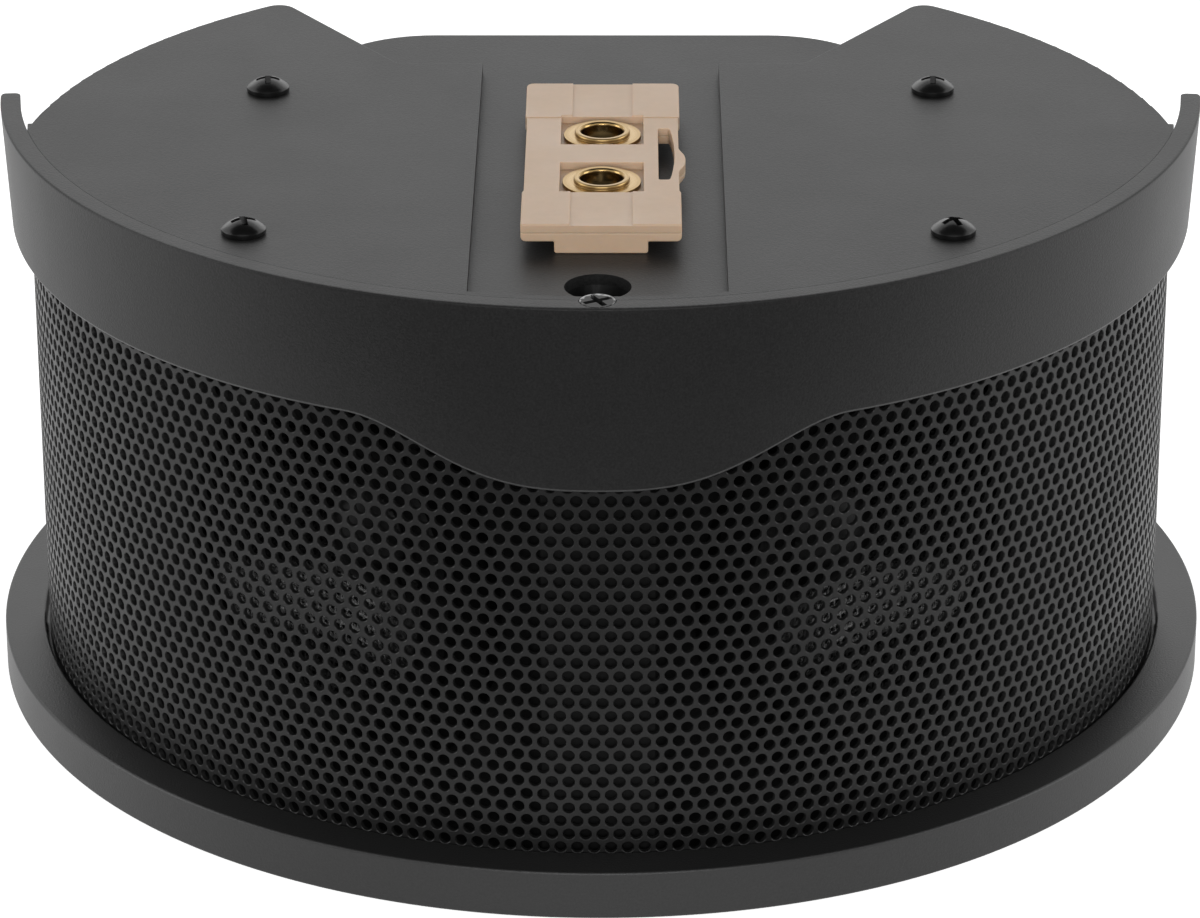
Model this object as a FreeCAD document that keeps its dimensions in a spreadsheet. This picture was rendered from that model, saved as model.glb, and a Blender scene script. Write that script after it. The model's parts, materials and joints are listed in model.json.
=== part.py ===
import FreeCAD, Part
import math
import os
import re

import Sketcher
from FreeCAD import Placement, Rotation, Vector

# A half-round conference speaker: a base disc carries a moulded cabinet with two drivers on angled
# baffles, a rolled perforated grille, a curved front band with a bell-shaped apron, and a top plate
# with a rail channel and a two-pole contact block. Millimetres, +Z up, origin under the disc's centre,
# front towards -Y.

SIZES = {
    # base disc
    "disc_radius": 116.0, "disc_height": 9.2, "disc_edge": 0.8,
    "pocket_gap": 1.1, "pocket_depth": 3.0,
    # top plate: a lens between a front circle and a rear circle, with a rear notch and a tongue
    "top_height": 115.4, "plate_thickness": 4.0, "plate_gap": 0.2, "plate_edge": 0.4,
    "rear_radius": 106.4, "rear_centre": -43.3, "lobe_round": 3.5, "notch_round": 3.0,
    "notch_half": 38.4, "notch_front": 8.7, "lobe_half": 61.9, "lobe_back": 43.3,
    "tongue_half": 53.4, "tongue_back": 29.7, "tongue_root": 30.0, "tongue_round": 21.4,
    "channel_half": 22.3, "channel_depth": 2.0, "channel_strip": 1.6,
    "key_hole_radius": 5.8, "key_hole_margin": 10.8, "key_hole_depth": 22.0,
    # front band
    "band_step": 3.8, "band_wall": 3.6, "band_taper": 1.3, "band_height": 23.7,
    "bell_drop": 11.2, "bell_half_angle": 23.3, "bell_power": 1.5, "arm_end": -8.0, "arm_round": 0.9,
    "lip_width": 5.1, "lip_thickness": 2.0, "lip_end": -36.0, "lip_gap": 0.3,
    # grille
    "grille_gap": 1.2, "grille_sheet": 1.0, "grille_end": -8.0,
    "hole_pitch": 17.4, "hole_radius": 5.8, "hole_margin": 11.5,
    # cabinet
    "cabinet_inset": 0.6, "wall": 3.0, "floor_thickness": 3.0, "baffle_wall": 5.0,
    "post_half": 10.0, "post_gap": 3.4, "post_depth": 20.0, "tip_gap": 3.0, "tip_angle": 15.5,
    "side_gap": 1.8, "side_angle": 11.8, "crown_height": 6.0, "crown_gap": 0.4,
    "divider_half": 1.5, "boss_radius": 5.0, "front_boss_length": 14.0, "socket_boss_length": 8.0,
    "lead_window_drop": 16.0, "lead_window_margin": 9.0,
    # drivers, measured along their own axis from the baffle's front face
    "driver_radius": 42.0, "driver_lift": 2.3, "driver_margin": 9.2, "baffle_seat": 5.0,
    "gasket_thickness": 1.0, "gasket_width": 4.5, "flange_thickness": 2.0, "flange_width": 8.5,
    "basket_wall": 1.6, "basket_depth": 22.0, "basket_step": 6.0,
    "window_width": 20.0, "window_height": 9.0, "surround_width": 7.0, "surround_sheet": 0.7,
    "surround_lip": 1.5, "surround_seat": 0.4, "cone_sheet": 0.7, "cone_neck": 9.6, "cone_depth": 13.0,
    "cap_rise": 4.0, "coil_sheet": 0.5, "coil_length": 18.0, "coil_gap": 0.6,
    "spider_depth": 19.0, "spider_sheet": 0.8, "spider_ridge": 1.2, "spider_gap": 0.1,
    "yoke_plate": 4.0, "magnet_radius": 22.5, "magnet_height": 11.0, "pole_radius": 8.5,
    # terminals and leads behind the drivers
    "tag_width": 16.0, "tag_length": 4.5, "tag_thickness": 2.0, "tag_depth": 8.5, "tag_step": 4.6,
    "tag_saddle": 6.0, "tag_blade": 3.0,
    "lead_radius": 0.9, "lead_spacing": 9.0, "lead_drop": 1.75, "lead_run": 16.0, "lead_rise": 9.0,
    "lead_gap": 0.05,
    # contact block on the channel floor
    "block_offset": 0.5, "block_width": 28.1, "block_front": -82.5, "block_length": 70.7,
    "foot_width": 16.4, "foot_height": 2.2, "block_lower": 1.6, "block_upper": 1.7,
    "waist_inset": 0.3, "waist_front": -66.4, "waist_back": -29.6,
    "window_x": 14.9, "window_y": 14.4, "rear_window": -36.0, "front_window": -59.3,
    "slot_width": 2.7, "slot_edge": 3.95, "slot_front": -60.7, "slot_length": 25.7,
    "bump_radius": 6.0, "bump_out": 0.9, "bump_centre": -51.0,
    "ring_radius": 7.0, "ring_bore": 4.9, "ring_drop": 0.9,
    "ring_chamfer": 0.35, "ring_round": 0.6, "cup_wall": 0.8,
    # fasteners
    "screw_clearance": 0.1, "pilot_spare": 1.0,
    "plate_screw_margin": 9.0, "plate_screw_angle": 38.59, "plate_screw_back": -6.5,
    "plate_screw_radius": 2.0, "plate_screw_head": 3.95, "head_side": 1.3, "head_dome": 1.4,
    "head_flat": 2.3, "plate_screw_length": 12.0,
    "seam_screw_radius": 1.5, "seam_screw_head": 3.1, "seam_screw_length": 5.2, "seam_screw_cone": 1.6,
    "socket_screw_radius": 2.0, "socket_screw_head": 3.6, "socket_screw_flat": 2.5,
    "socket_screw_rise": 1.9, "socket_screw_length": 15.0,
    "lug_radius": 5.6, "lug_thickness": 0.8, "nut_radius": 4.0, "nut_height": 3.0,
    "base_screw_radius": 2.0, "base_screw_head": 3.9, "base_head_height": 2.6, "base_screw_length": 16.0,
    "driver_screw_radius": 1.5, "driver_screw_head": 2.8, "driver_head_height": 1.8,
    "driver_screw_length": 8.0, "driver_screw_inset": 4.2,
}

# Radii step inwards from the disc's rim, and a driver's from its flange.
DERIVED = {
    "band_outer": "disc_radius - band_step",
    "band_low_outer": "band_outer - band_taper",
    "band_inner": "band_outer - band_wall",
    "lip_inner": "band_inner - lip_width",
    "plate_radius": "band_inner - plate_gap",
    "grille_radius": "band_inner - grille_gap",
    "pocket_radius": "grille_radius + pocket_gap",
    "key_hole_centre": "key_hole_margin - plate_radius",
    "tongue_front": "notch_front - tongue_root",
    "plate_screw_x": "(plate_radius - plate_screw_margin) * sin(plate_screw_angle)",
    "plate_screw_front": "(plate_screw_margin - plate_radius) * cos(plate_screw_angle)",
    "post_front": "post_gap - grille_radius",
    "post_back": "post_front + post_depth",
    "tip_x": "(grille_radius - tip_gap) * cos(tip_angle)",
    "tip_y": "(tip_gap - grille_radius) * sin(tip_angle)",
    "side_x": "(grille_radius - side_gap) * cos(side_angle)",
    "side_y": "(side_gap - grille_radius) * sin(side_angle)",
    "driver_rise": "driver_radius + driver_lift",
    "baffle_bore": "driver_radius - baffle_seat",
    "flange_bore": "driver_radius - flange_width",
    "basket_top": "driver_radius - basket_step",
    "basket_back": "magnet_radius",
    "surround_inner": "flange_bore - surround_width",
    "tag_reach": "basket_top - tag_step",
}

doc = FreeCAD.newDocument("ConferenceSpeaker")
sheet = doc.addObject("Spreadsheet::Sheet", "Sizes")
for row, (alias, value) in enumerate(SIZES.items(), start=1):
    sheet.set(f"A{row}", alias.replace("_", " "))
    sheet.set(f"B{row}", str(value))
    sheet.setAlias(f"B{row}", alias)
doc.recompute()

ALIAS = re.compile(r"\b(" + "|".join(SIZES) + r")\b")
FORMULA = re.compile(r"\b(" + "|".join(DERIVED) + r")\b")
NODES = []
LONG_EDGE = 15.0
BEND_SHARE = 0.45
TOUCH = 1e-6


def ref(text):
    """The sheet expression for a formula written with bare names."""
    while FORMULA.search(text):
        text = FORMULA.sub(lambda found: "(" + DERIVED[found.group()] + ")", text)
    return ALIAS.sub(r"Sizes.\1", text)


def number(text):
    """The present value of such a formula."""
    return float(sheet.evalExpression(ref(text)))


def bind(feature, **formulas):
    for name, text in formulas.items():
        feature.setExpression(name, ref(text))


def move(feature, x="0", y="0", z="0"):
    for axis, text in (("x", x), ("y", y), ("z", z)):
        feature.setExpression(f"Placement.Base.{axis}", ref(text))
    return feature


def cylinder(name, radius, height, x="0", y="0", z="0"):
    feature = doc.addObject("Part::Cylinder", name)
    bind(feature, Radius=radius, Height=height)
    return move(feature, x, y, z)


def cone(name, low, high, height, x="0", y="0", z="0"):
    feature = doc.addObject("Part::Cone", name)
    bind(feature, Radius1=low, Radius2=high, Height=height)
    return move(feature, x, y, z)


def box(name, length, width, height, x="0", y="0", z="0"):
    feature = doc.addObject("Part::Box", name)
    bind(feature, Length=length, Width=width, Height=height)
    return move(feature, x, y, z)


def centred_box(name, half, front, back, height, z):
    """A box symmetric about the YZ plane, from front to back along Y."""
    return box(name, f"2 * ({half})", f"({back}) - ({front})", height, f"-({half})", front, z)


def fuse(name, *features):
    feature = doc.addObject("Part::MultiFuse", name)
    feature.Shapes = list(features)
    feature.Refine = True
    return feature


def common(name, *features):
    feature = doc.addObject("Part::MultiCommon", name)
    feature.Shapes = list(features)
    return feature


def cut(name, base, *tools):
    feature = doc.addObject("Part::Cut", name)
    feature.Base = base
    feature.Tool = tools[0] if len(tools) == 1 else fuse(name + "Tools", *tools)
    feature.Refine = True
    return feature


def group(name, *features):
    feature = doc.addObject("Part::Compound", name)
    feature.Links = list(features)
    return feature


def lock(sketch, kind, index, text):
    """Ties one coordinate of a line's start to the sheet."""
    value = number(text)
    if abs(value) < 1e-9:
        axis = -2 if kind == "DistanceX" else -1
        sketch.addConstraint(Sketcher.Constraint("PointOnObject", index, 1, axis))
        return
    constraint = sketch.addConstraint(Sketcher.Constraint(kind, -1, 1, index, 1, value))
    sketch.setExpression(f"Constraints[{constraint}]", ref(text))


def outline(sketch, points):
    """A closed run of straight lines through points given as formulas."""
    places = [Vector(number(x), number(y), 0) for x, y in points]
    for index, place in enumerate(places):
        sketch.addGeometry(Part.LineSegment(place, places[(index + 1) % len(places)]))
    for index in range(len(points)):
        following = (index + 1) % len(points)
        sketch.addConstraint(Sketcher.Constraint("Coincident", index, 2, following, 1))
    for index, (x, y) in enumerate(points):
        lock(sketch, "DistanceX", index, x)
        lock(sketch, "DistanceY", index, y)
    return sketch


def prism(name, points, height, z):
    """An upright prism on an outline in the XY plane."""
    sketch = outline(doc.addObject("Sketcher::SketchObject", name + "Outline"), points)
    feature = doc.addObject("Part::Extrusion", name)
    feature.Base = sketch
    feature.DirMode = "Custom"
    feature.Dir = Vector(0, 0, 1)
    feature.Solid = True
    bind(feature, LengthFwd=height)
    return move(feature, z=z)


def turned(name, points):
    """A body turned about Z from a section of (radius, height) points."""
    body = doc.addObject("PartDesign::Body", name)
    sketch = body.newObject("Sketcher::SketchObject", name + "Section")
    plane = [item for item in body.Origin.OriginFeatures if item.Role == "XZ_Plane"][0]
    sketch.AttachmentSupport = [(plane, "")]
    sketch.MapMode = "FlatFace"
    outline(sketch, points)
    turn = body.newObject("PartDesign::Revolution", name + "Turn")
    turn.Profile = sketch
    turn.ReferenceAxis = (sketch, ["V_Axis"])
    turn.Angle = 360.0
    body.Tip = turn
    return body


def rounded(name, base, radius, wanted):
    """Rounds the edges of a finished shape whose middle point passes the test."""
    doc.recompute()
    amount = number(radius)
    chosen = []
    for index, edge in enumerate(base.Shape.Edges, start=1):
        middle = edge.valueAt((edge.FirstParameter + edge.LastParameter) / 2)
        if wanted(edge, middle):
            chosen.append((index, amount, amount))
    feature = doc.addObject("Part::Fillet", name)
    feature.Base = base
    feature.Edges = chosen
    return feature


def solid(name, shape):
    """A shape made with Part's own functions."""
    feature = doc.addObject("Part::Feature", name)
    feature.Shape = shape
    return feature


def upright(edge):
    start, end = edge.Vertexes[0].Point, edge.Vertexes[-1].Point
    return abs(start.z - end.z) > TOUCH and abs(start.x - end.x) + abs(start.y - end.y) < TOUCH


def node(name, feature):
    """Names a finished piece; its label is its file name."""
    feature.Label = name
    NODES.append((name, feature))
    return feature


PLATE_LOW = "top_height - plate_thickness"
DECK = "top_height - channel_depth"
POCKET = "disc_height - pocket_depth"
LIP_LOW = f"{PLATE_LOW} - lip_thickness"
BOSS_LOW = f"{PLATE_LOW} - socket_boss_length"


def base_disc():
    disc = turned("Disc", [
        ("0", "0"), ("disc_radius - disc_edge", "0"), ("disc_radius", "disc_edge"),
        ("disc_radius", "disc_height - disc_edge"), ("disc_radius - disc_edge", "disc_height"),
        ("pocket_radius", "disc_height"), ("pocket_radius", POCKET), ("0", POCKET)])
    holes = []
    for index, (x, y) in enumerate(BASE_SCREWS):
        holes.append(cylinder(f"BaseHole{index}", "base_screw_radius + screw_clearance", "disc_height",
                              x, y))
        holes.append(cylinder(f"BaseHeadSeat{index}", "base_screw_head + screw_clearance",
                              "base_head_height", x, y))
    node("base_disc", cut("DiscDrilled", disc, *holes))


BASE_SCREWS = (("plate_screw_x", "plate_screw_back"), ("-plate_screw_x", "plate_screw_back"),
               ("0", "post_back - boss_radius"))
PLATE_SCREWS = (("plate_screw_x", "plate_screw_front"), ("-plate_screw_x", "plate_screw_front"),
                ("plate_screw_x", "plate_screw_back"), ("-plate_screw_x", "plate_screw_back"))
SOCKETS = {"rear_socket": "rear_window", "front_socket": "front_window"}


def lens(name, front_radius, inset, height, z):
    """The plan shared by plate and cabinet: a front circle crossed with the rear circle."""
    front = cylinder(name + "Front", front_radius, height, z=z)
    rear = cylinder(name + "Rear", f"rear_radius - ({inset})", height, y="rear_centre", z=z)
    return common(name, front, rear)


def notch(name, inset, height, z):
    """The V-shaped gap between the two rear lobes."""
    side = [(f"notch_half + ({inset})", f"notch_front - ({inset})"), (f"lobe_half + ({inset})", "lobe_back"),
            (f"lobe_half + ({inset})", "disc_radius")]
    mirrored = [("-(" + x + ")", y) for x, y in reversed(side)]
    return prism(name, side + mirrored, height, z)


def tongue(name, inset, height, z):
    """The rounded block that reaches back between the lobes."""
    block = centred_box(name + "Block", f"tongue_half - ({inset})", "tongue_front",
                        f"tongue_back - ({inset})", height, z)
    back = number(f"tongue_back - ({inset})")
    return rounded(name, block, f"tongue_round - ({inset})",
                   lambda edge, middle: upright(edge) and abs(middle.y - back) < TOUCH)


def top_plate():
    wings = cut("Wings", lens("PlateLens", "plate_radius", "0", "plate_thickness", PLATE_LOW),
                notch("PlateNotch", "0", "plate_thickness", PLATE_LOW))
    lobe_y = number("(lobe_back + notch_front) / 2")
    notch_y = number("notch_front")
    lobes = rounded("WingLobes", wings, "lobe_round",
                    lambda edge, middle: upright(edge) and middle.y > lobe_y)
    corners = rounded("WingCorners", lobes, "notch_round",
                      lambda edge, middle: upright(edge) and abs(middle.y - notch_y) < TOUCH)
    whole = fuse("PlateBlank", corners,
                 tongue("PlateTongue", "0", "plate_thickness - channel_depth", PLATE_LOW))
    channel = common("Channel",
                     centred_box("ChannelBox", "channel_half", "-disc_radius", "disc_radius",
                                 "plate_thickness", DECK),
                     cylinder("ChannelFront", "plate_radius - channel_strip", "plate_thickness",
                              z=DECK))
    holes = [cylinder("KeyHole", "key_hole_radius", "2 * plate_thickness", "0", "key_hole_centre",
                      f"{PLATE_LOW} - plate_thickness / 2")]
    for index, (x, y) in enumerate(PLATE_SCREWS):
        holes.append(cylinder(f"PlateHole{index}", "plate_screw_radius + screw_clearance",
                              "2 * plate_thickness", x, y, f"{PLATE_LOW} - plate_thickness / 2"))
    for name, y in SOCKETS.items():
        holes.append(cylinder(f"PlateHole_{name}", "socket_screw_radius + screw_clearance",
                              "2 * plate_thickness", "block_offset", y,
                              f"{PLATE_LOW} - plate_thickness / 2"))
    milled = cut("PlateMilled", whole, channel, *holes, *seam_screw_seat("PlateSeam"))
    top = number("top_height")
    reach = number("plate_radius - channel_strip")
    eased = rounded("PlateEased", milled, "plate_edge",
                    lambda edge, middle: abs(middle.z - top) < TOUCH and edge.Length > LONG_EDGE
                    and middle.y > number("rear_centre") and math.hypot(middle.x, middle.y) < reach)
    node("top_plate", eased)


SEAM_Y = "-(band_inner - plate_gap / 2)"


def seam_screw_seat(name):
    """The countersunk hole shared by the plate's strip and the band."""
    shank = cylinder(name + "Hole", "seam_screw_radius + screw_clearance", "seam_screw_length",
                     "0", SEAM_Y, "top_height - seam_screw_length")
    head = cone(name + "Sink", "seam_screw_radius + screw_clearance", "seam_screw_head + screw_clearance",
                "seam_screw_cone", "0", SEAM_Y, "top_height - seam_screw_cone")
    return shank, head


def front_band():
    low = "top_height - band_height"
    ring = turned("BandRing", [
        ("band_inner", f"{low} - bell_drop"), ("band_low_outer", f"{low} - bell_drop"),
        ("band_low_outer", low), ("band_outer", "top_height"), ("band_inner", "top_height"),
        ("band_inner", PLATE_LOW), ("lip_inner", PLATE_LOW), ("lip_inner", LIP_LOW),
        ("band_inner", LIP_LOW)])
    behind = centred_box("BandBehind", "disc_radius", "arm_end", "disc_radius", "2 * top_height", "0")
    lip_ends = common("BandLipEnds", cylinder("BandBore", "band_inner", "2 * top_height"),
                      centred_box("BandLipBehind", "disc_radius", "lip_end", "disc_radius",
                                  "2 * top_height", "0"))
    arc = cut("BandArc", ring, behind, lip_ends, apron_cutter(), *seam_screw_seat("BandSeam"))
    end = number("arm_end")
    node("front_band", rounded("BandEnds", arc, "arm_round",
                               lambda edge, middle: abs(middle.y - end) < TOUCH and edge.Length > LONG_EDGE))


def apron_cutter():
    """What is cleared below the band: level at the sides, with a bell-shaped drop left at the front."""
    low = number("top_height - band_height")
    half = math.radians(number("bell_half_angle"))
    radius = number("band_low_outer")
    steps = 8
    curve = []
    for step in range(-steps, steps + 1):
        share = abs(step) / steps
        drop = number("bell_drop") * (1 + math.cos(math.pi * share ** number("bell_power"))) / 2
        curve.append(Vector(radius * math.sin(half * step / steps), 0, low - drop))
    bell = Part.BSplineCurve()
    bell.interpolate(curve, InitialTangent=Vector(1, 0, 0), FinalTangent=Vector(1, 0, 0))
    side = number("disc_radius")
    rim = [curve[-1], Vector(side, 0, low), Vector(side, 0, 0), Vector(-side, 0, 0),
           Vector(-side, 0, low), curve[0]]
    edges = [bell.toShape()]
    edges += [Part.LineSegment(start, end).toShape() for start, end in zip(rim, rim[1:])]
    face = Part.Face(Part.Wire(edges))
    return solid("ApronCutter", face.extrude(Vector(0, -side, 0)))


def grille():
    """A rolled sheet with staggered round holes, fewer and larger than the real 2 mm ones."""
    outer = number("grille_radius")
    inner = outer - number("grille_sheet")
    low, high = number(POCKET), number(LIP_LOW)
    pitch, margin = number("hole_pitch"), number("hole_margin")
    sheet_ring = Part.makeCylinder(outer, high - low, Vector(0, 0, low))
    sheet_ring = sheet_ring.cut(Part.makeCylinder(inner, high - low, Vector(0, 0, low)))
    side = 2 * outer
    sheet_ring = sheet_ring.cut(Part.makeBox(side, side, side, Vector(-outer, number("grille_end"), 0)))
    half_arc = outer * (math.pi / 2 - math.asin(-number("grille_end") / outer)) - margin
    row_step = pitch * math.sqrt(3) / 2
    rows = int((high - low - 2 * margin) / row_step) + 1
    first = (low + high - (rows - 1) * row_step) / 2
    punches = []
    for row in range(rows):
        shift = pitch / 2 * (row % 2)
        count = int((2 * half_arc - pitch) / pitch / 2)
        for column in range(-count, count + (1 if row % 2 == 0 else 0)):
            angle = (column * pitch + shift) / outer
            outward = Vector(math.sin(angle), -math.cos(angle), 0)
            level = Vector(0, 0, first + row * row_step)
            start = outward * number("grille_radius - 2 * grille_sheet") + level
            punches.append(Part.makeCylinder(number("hole_radius"), number("3 * grille_sheet"),
                                             start, outward))
    node("grille", solid("GrilleSheet", sheet_ring.cut(punches)))


BAFFLE_SLOPE = "((tip_y - post_front) / (tip_x - post_half))"


def baffle_plan(name, inset, baffle_inset, height, z):
    """The cabinet below its crown: post, two baffles and the rear curve."""
    front = f"post_front + ({baffle_inset}) * sqrt(1 + {BAFFLE_SLOPE} ^ 2)"
    side = [("post_half", front),
            (f"tip_x - ({inset})", f"{front} + {BAFFLE_SLOPE} * (tip_x - ({inset}) - post_half)"),
            (f"side_x - ({inset})", f"side_y + ({inset})"), (f"side_x - ({inset})", "disc_radius")]
    mirrored = [("-(" + x + ")", y) for x, y in reversed(side)]
    wedge = prism(name + "Wedge", side + mirrored, height, z)
    rear = cylinder(name + "Rear", f"rear_radius - cabinet_inset - ({inset})", height, y="rear_centre", z=z)
    lobes = cut(name + "Lobes", common(name + "Lens", wedge, rear),
                notch(name + "Notch", f"cabinet_inset + ({inset})", height, z))
    return fuse(name, lobes, tongue(name + "Tongue", f"cabinet_inset + ({inset})", height, z))


def cabinet():
    tall = f"{PLATE_LOW} - ({POCKET})"
    body = baffle_plan("Cabinet", "0", "0", tall, POCKET)
    crown = cut("Crown", lens("CrownLens", "grille_radius - grille_sheet - crown_gap", "cabinet_inset",
                              "crown_height", f"{PLATE_LOW} - crown_height"),
                notch("CrownNotch", "cabinet_inset", "crown_height", f"{PLATE_LOW} - crown_height"))
    shell = fuse("CabinetBlank", body, crown)
    room = baffle_plan("Room", "wall", "baffle_wall", f"{tall} - floor_thickness",
                       f"{POCKET} + floor_thickness")
    ribs = [centred_box("PostCore", "post_half", "post_front", "post_back", tall, POCKET),
            centred_box("Divider", "divider_half", "post_back", "tongue_back - cabinet_inset", tall, POCKET)]
    for index, (x, y) in enumerate(PLATE_SCREWS[2:]):
        ribs.append(cylinder(f"RearColumn{index}", "boss_radius", tall, x, y, POCKET))
    for index, (x, y) in enumerate(PLATE_SCREWS[:2]):
        ribs.append(cylinder(f"FrontBoss{index}", "boss_radius", "front_boss_length", x, y,
                             f"{PLATE_LOW} - front_boss_length"))
    for name, y in SOCKETS.items():
        ribs.append(cylinder(f"Boss_{name}", "boss_radius", "socket_boss_length", "block_offset", y,
                             f"{PLATE_LOW} - socket_boss_length"))
    lead_window = centred_box("LeadWindow", "post_half", "front_window - lead_window_margin",
                              "rear_window + lead_window_margin", "lead_window_drop",
                              f"{BOSS_LOW} - lead_window_drop")
    ribbed = fuse("CabinetRibbed", cut("CabinetShell", shell, room), *ribs)
    passage = cut("CabinetPassage", ribbed, lead_window)
    bores = [cylinder("KeyBore", "key_hole_radius", "key_hole_depth", "0", "key_hole_centre",
                      f"{DECK} - key_hole_depth")]
    for index, (x, y) in enumerate(PLATE_SCREWS):
        bores.append(cylinder(f"PlatePilot{index}", "plate_screw_radius + screw_clearance",
                              "plate_screw_length", x, y, "top_height - plate_screw_length"))
    for name, y in SOCKETS.items():
        bores.append(cylinder(f"Pilot_{name}", "socket_screw_radius + screw_clearance",
                              "socket_boss_length", "block_offset", y, BOSS_LOW))
    for index, (x, y) in enumerate(BASE_SCREWS):
        bores.append(cylinder(f"BasePilot{index}", "base_screw_radius + screw_clearance",
                              "base_screw_length", x, y, POCKET))
    lip_room = cut("LipRoom", cylinder("LipRoomOuter", "disc_radius", "lip_thickness", z=LIP_LOW),
                   cylinder("LipRoomInner", "lip_inner - lip_gap", "lip_thickness", z=LIP_LOW),
                   centred_box("LipRoomBehind", "disc_radius", "lip_end + lip_gap", "disc_radius",
                               "lip_thickness", LIP_LOW))
    bores.append(lip_room)
    for side in SIDES:
        bores.append(solid(f"BaffleHole_{side}", baffle_hole(side)))
        for index in range(DRIVER_SCREW_COUNT):
            bores.append(solid(f"DriverPilot_{side}{index}", driver_screw_hole(side, index)))
    node("cabinet", cut("CabinetBored", passage, *bores))


SIDES = {"left": -1, "right": 1}
DRIVER_SCREW_COUNT = 4


def driver_placement(side):
    """Puts a driver's own frame, Z forward, on its baffle."""
    sign = SIDES[side]
    inner = Vector(sign * number("post_half"), number("post_front"), 0)
    outer = Vector(sign * number("tip_x"), number("tip_y"), 0)
    along = (outer - inner).normalize()
    forward = Vector(sign * along.y, -abs(along.x), 0)
    middle = inner + along * number("driver_radius + driver_margin")
    centre = Vector(middle.x, middle.y, number(f"{POCKET} + driver_rise"))
    across = Vector(0, 0, 1).cross(forward)
    return Placement(centre, Rotation(across, Vector(0, 0, 1), forward, "ZXY"))


def baffle_hole(side):
    depth = number("3 * baffle_wall")
    shape = Part.makeCylinder(number("baffle_bore"), depth + number("baffle_wall"), Vector(0, 0, -depth))
    shape.Placement = driver_placement(side)
    return shape


def driver_screw_place(side, index):
    angle = math.pi / 4 + 2 * math.pi * index / DRIVER_SCREW_COUNT
    reach = number("driver_radius - driver_screw_inset")
    spot = Placement(Vector(reach * math.cos(angle), reach * math.sin(angle), 0), Rotation())
    return driver_placement(side) * spot


def driver_screw_hole(side, index):
    depth = number("driver_screw_length")
    shape = Part.makeCylinder(number("driver_screw_radius + screw_clearance"), depth, Vector(0, 0, -depth))
    shape.Placement = driver_screw_place(side, index)
    return shape


FLANGE_LOW = "gasket_thickness"
FLANGE_TOP = "gasket_thickness + flange_thickness"
BASKET_BACK = "-basket_depth"
SPIDER_LEVEL = "gasket_thickness + flange_thickness - spider_depth"
YOKE_BACK = "-basket_depth - yoke_plate"
MAGNET_BACK = "-basket_depth - yoke_plate - magnet_height"


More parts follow.
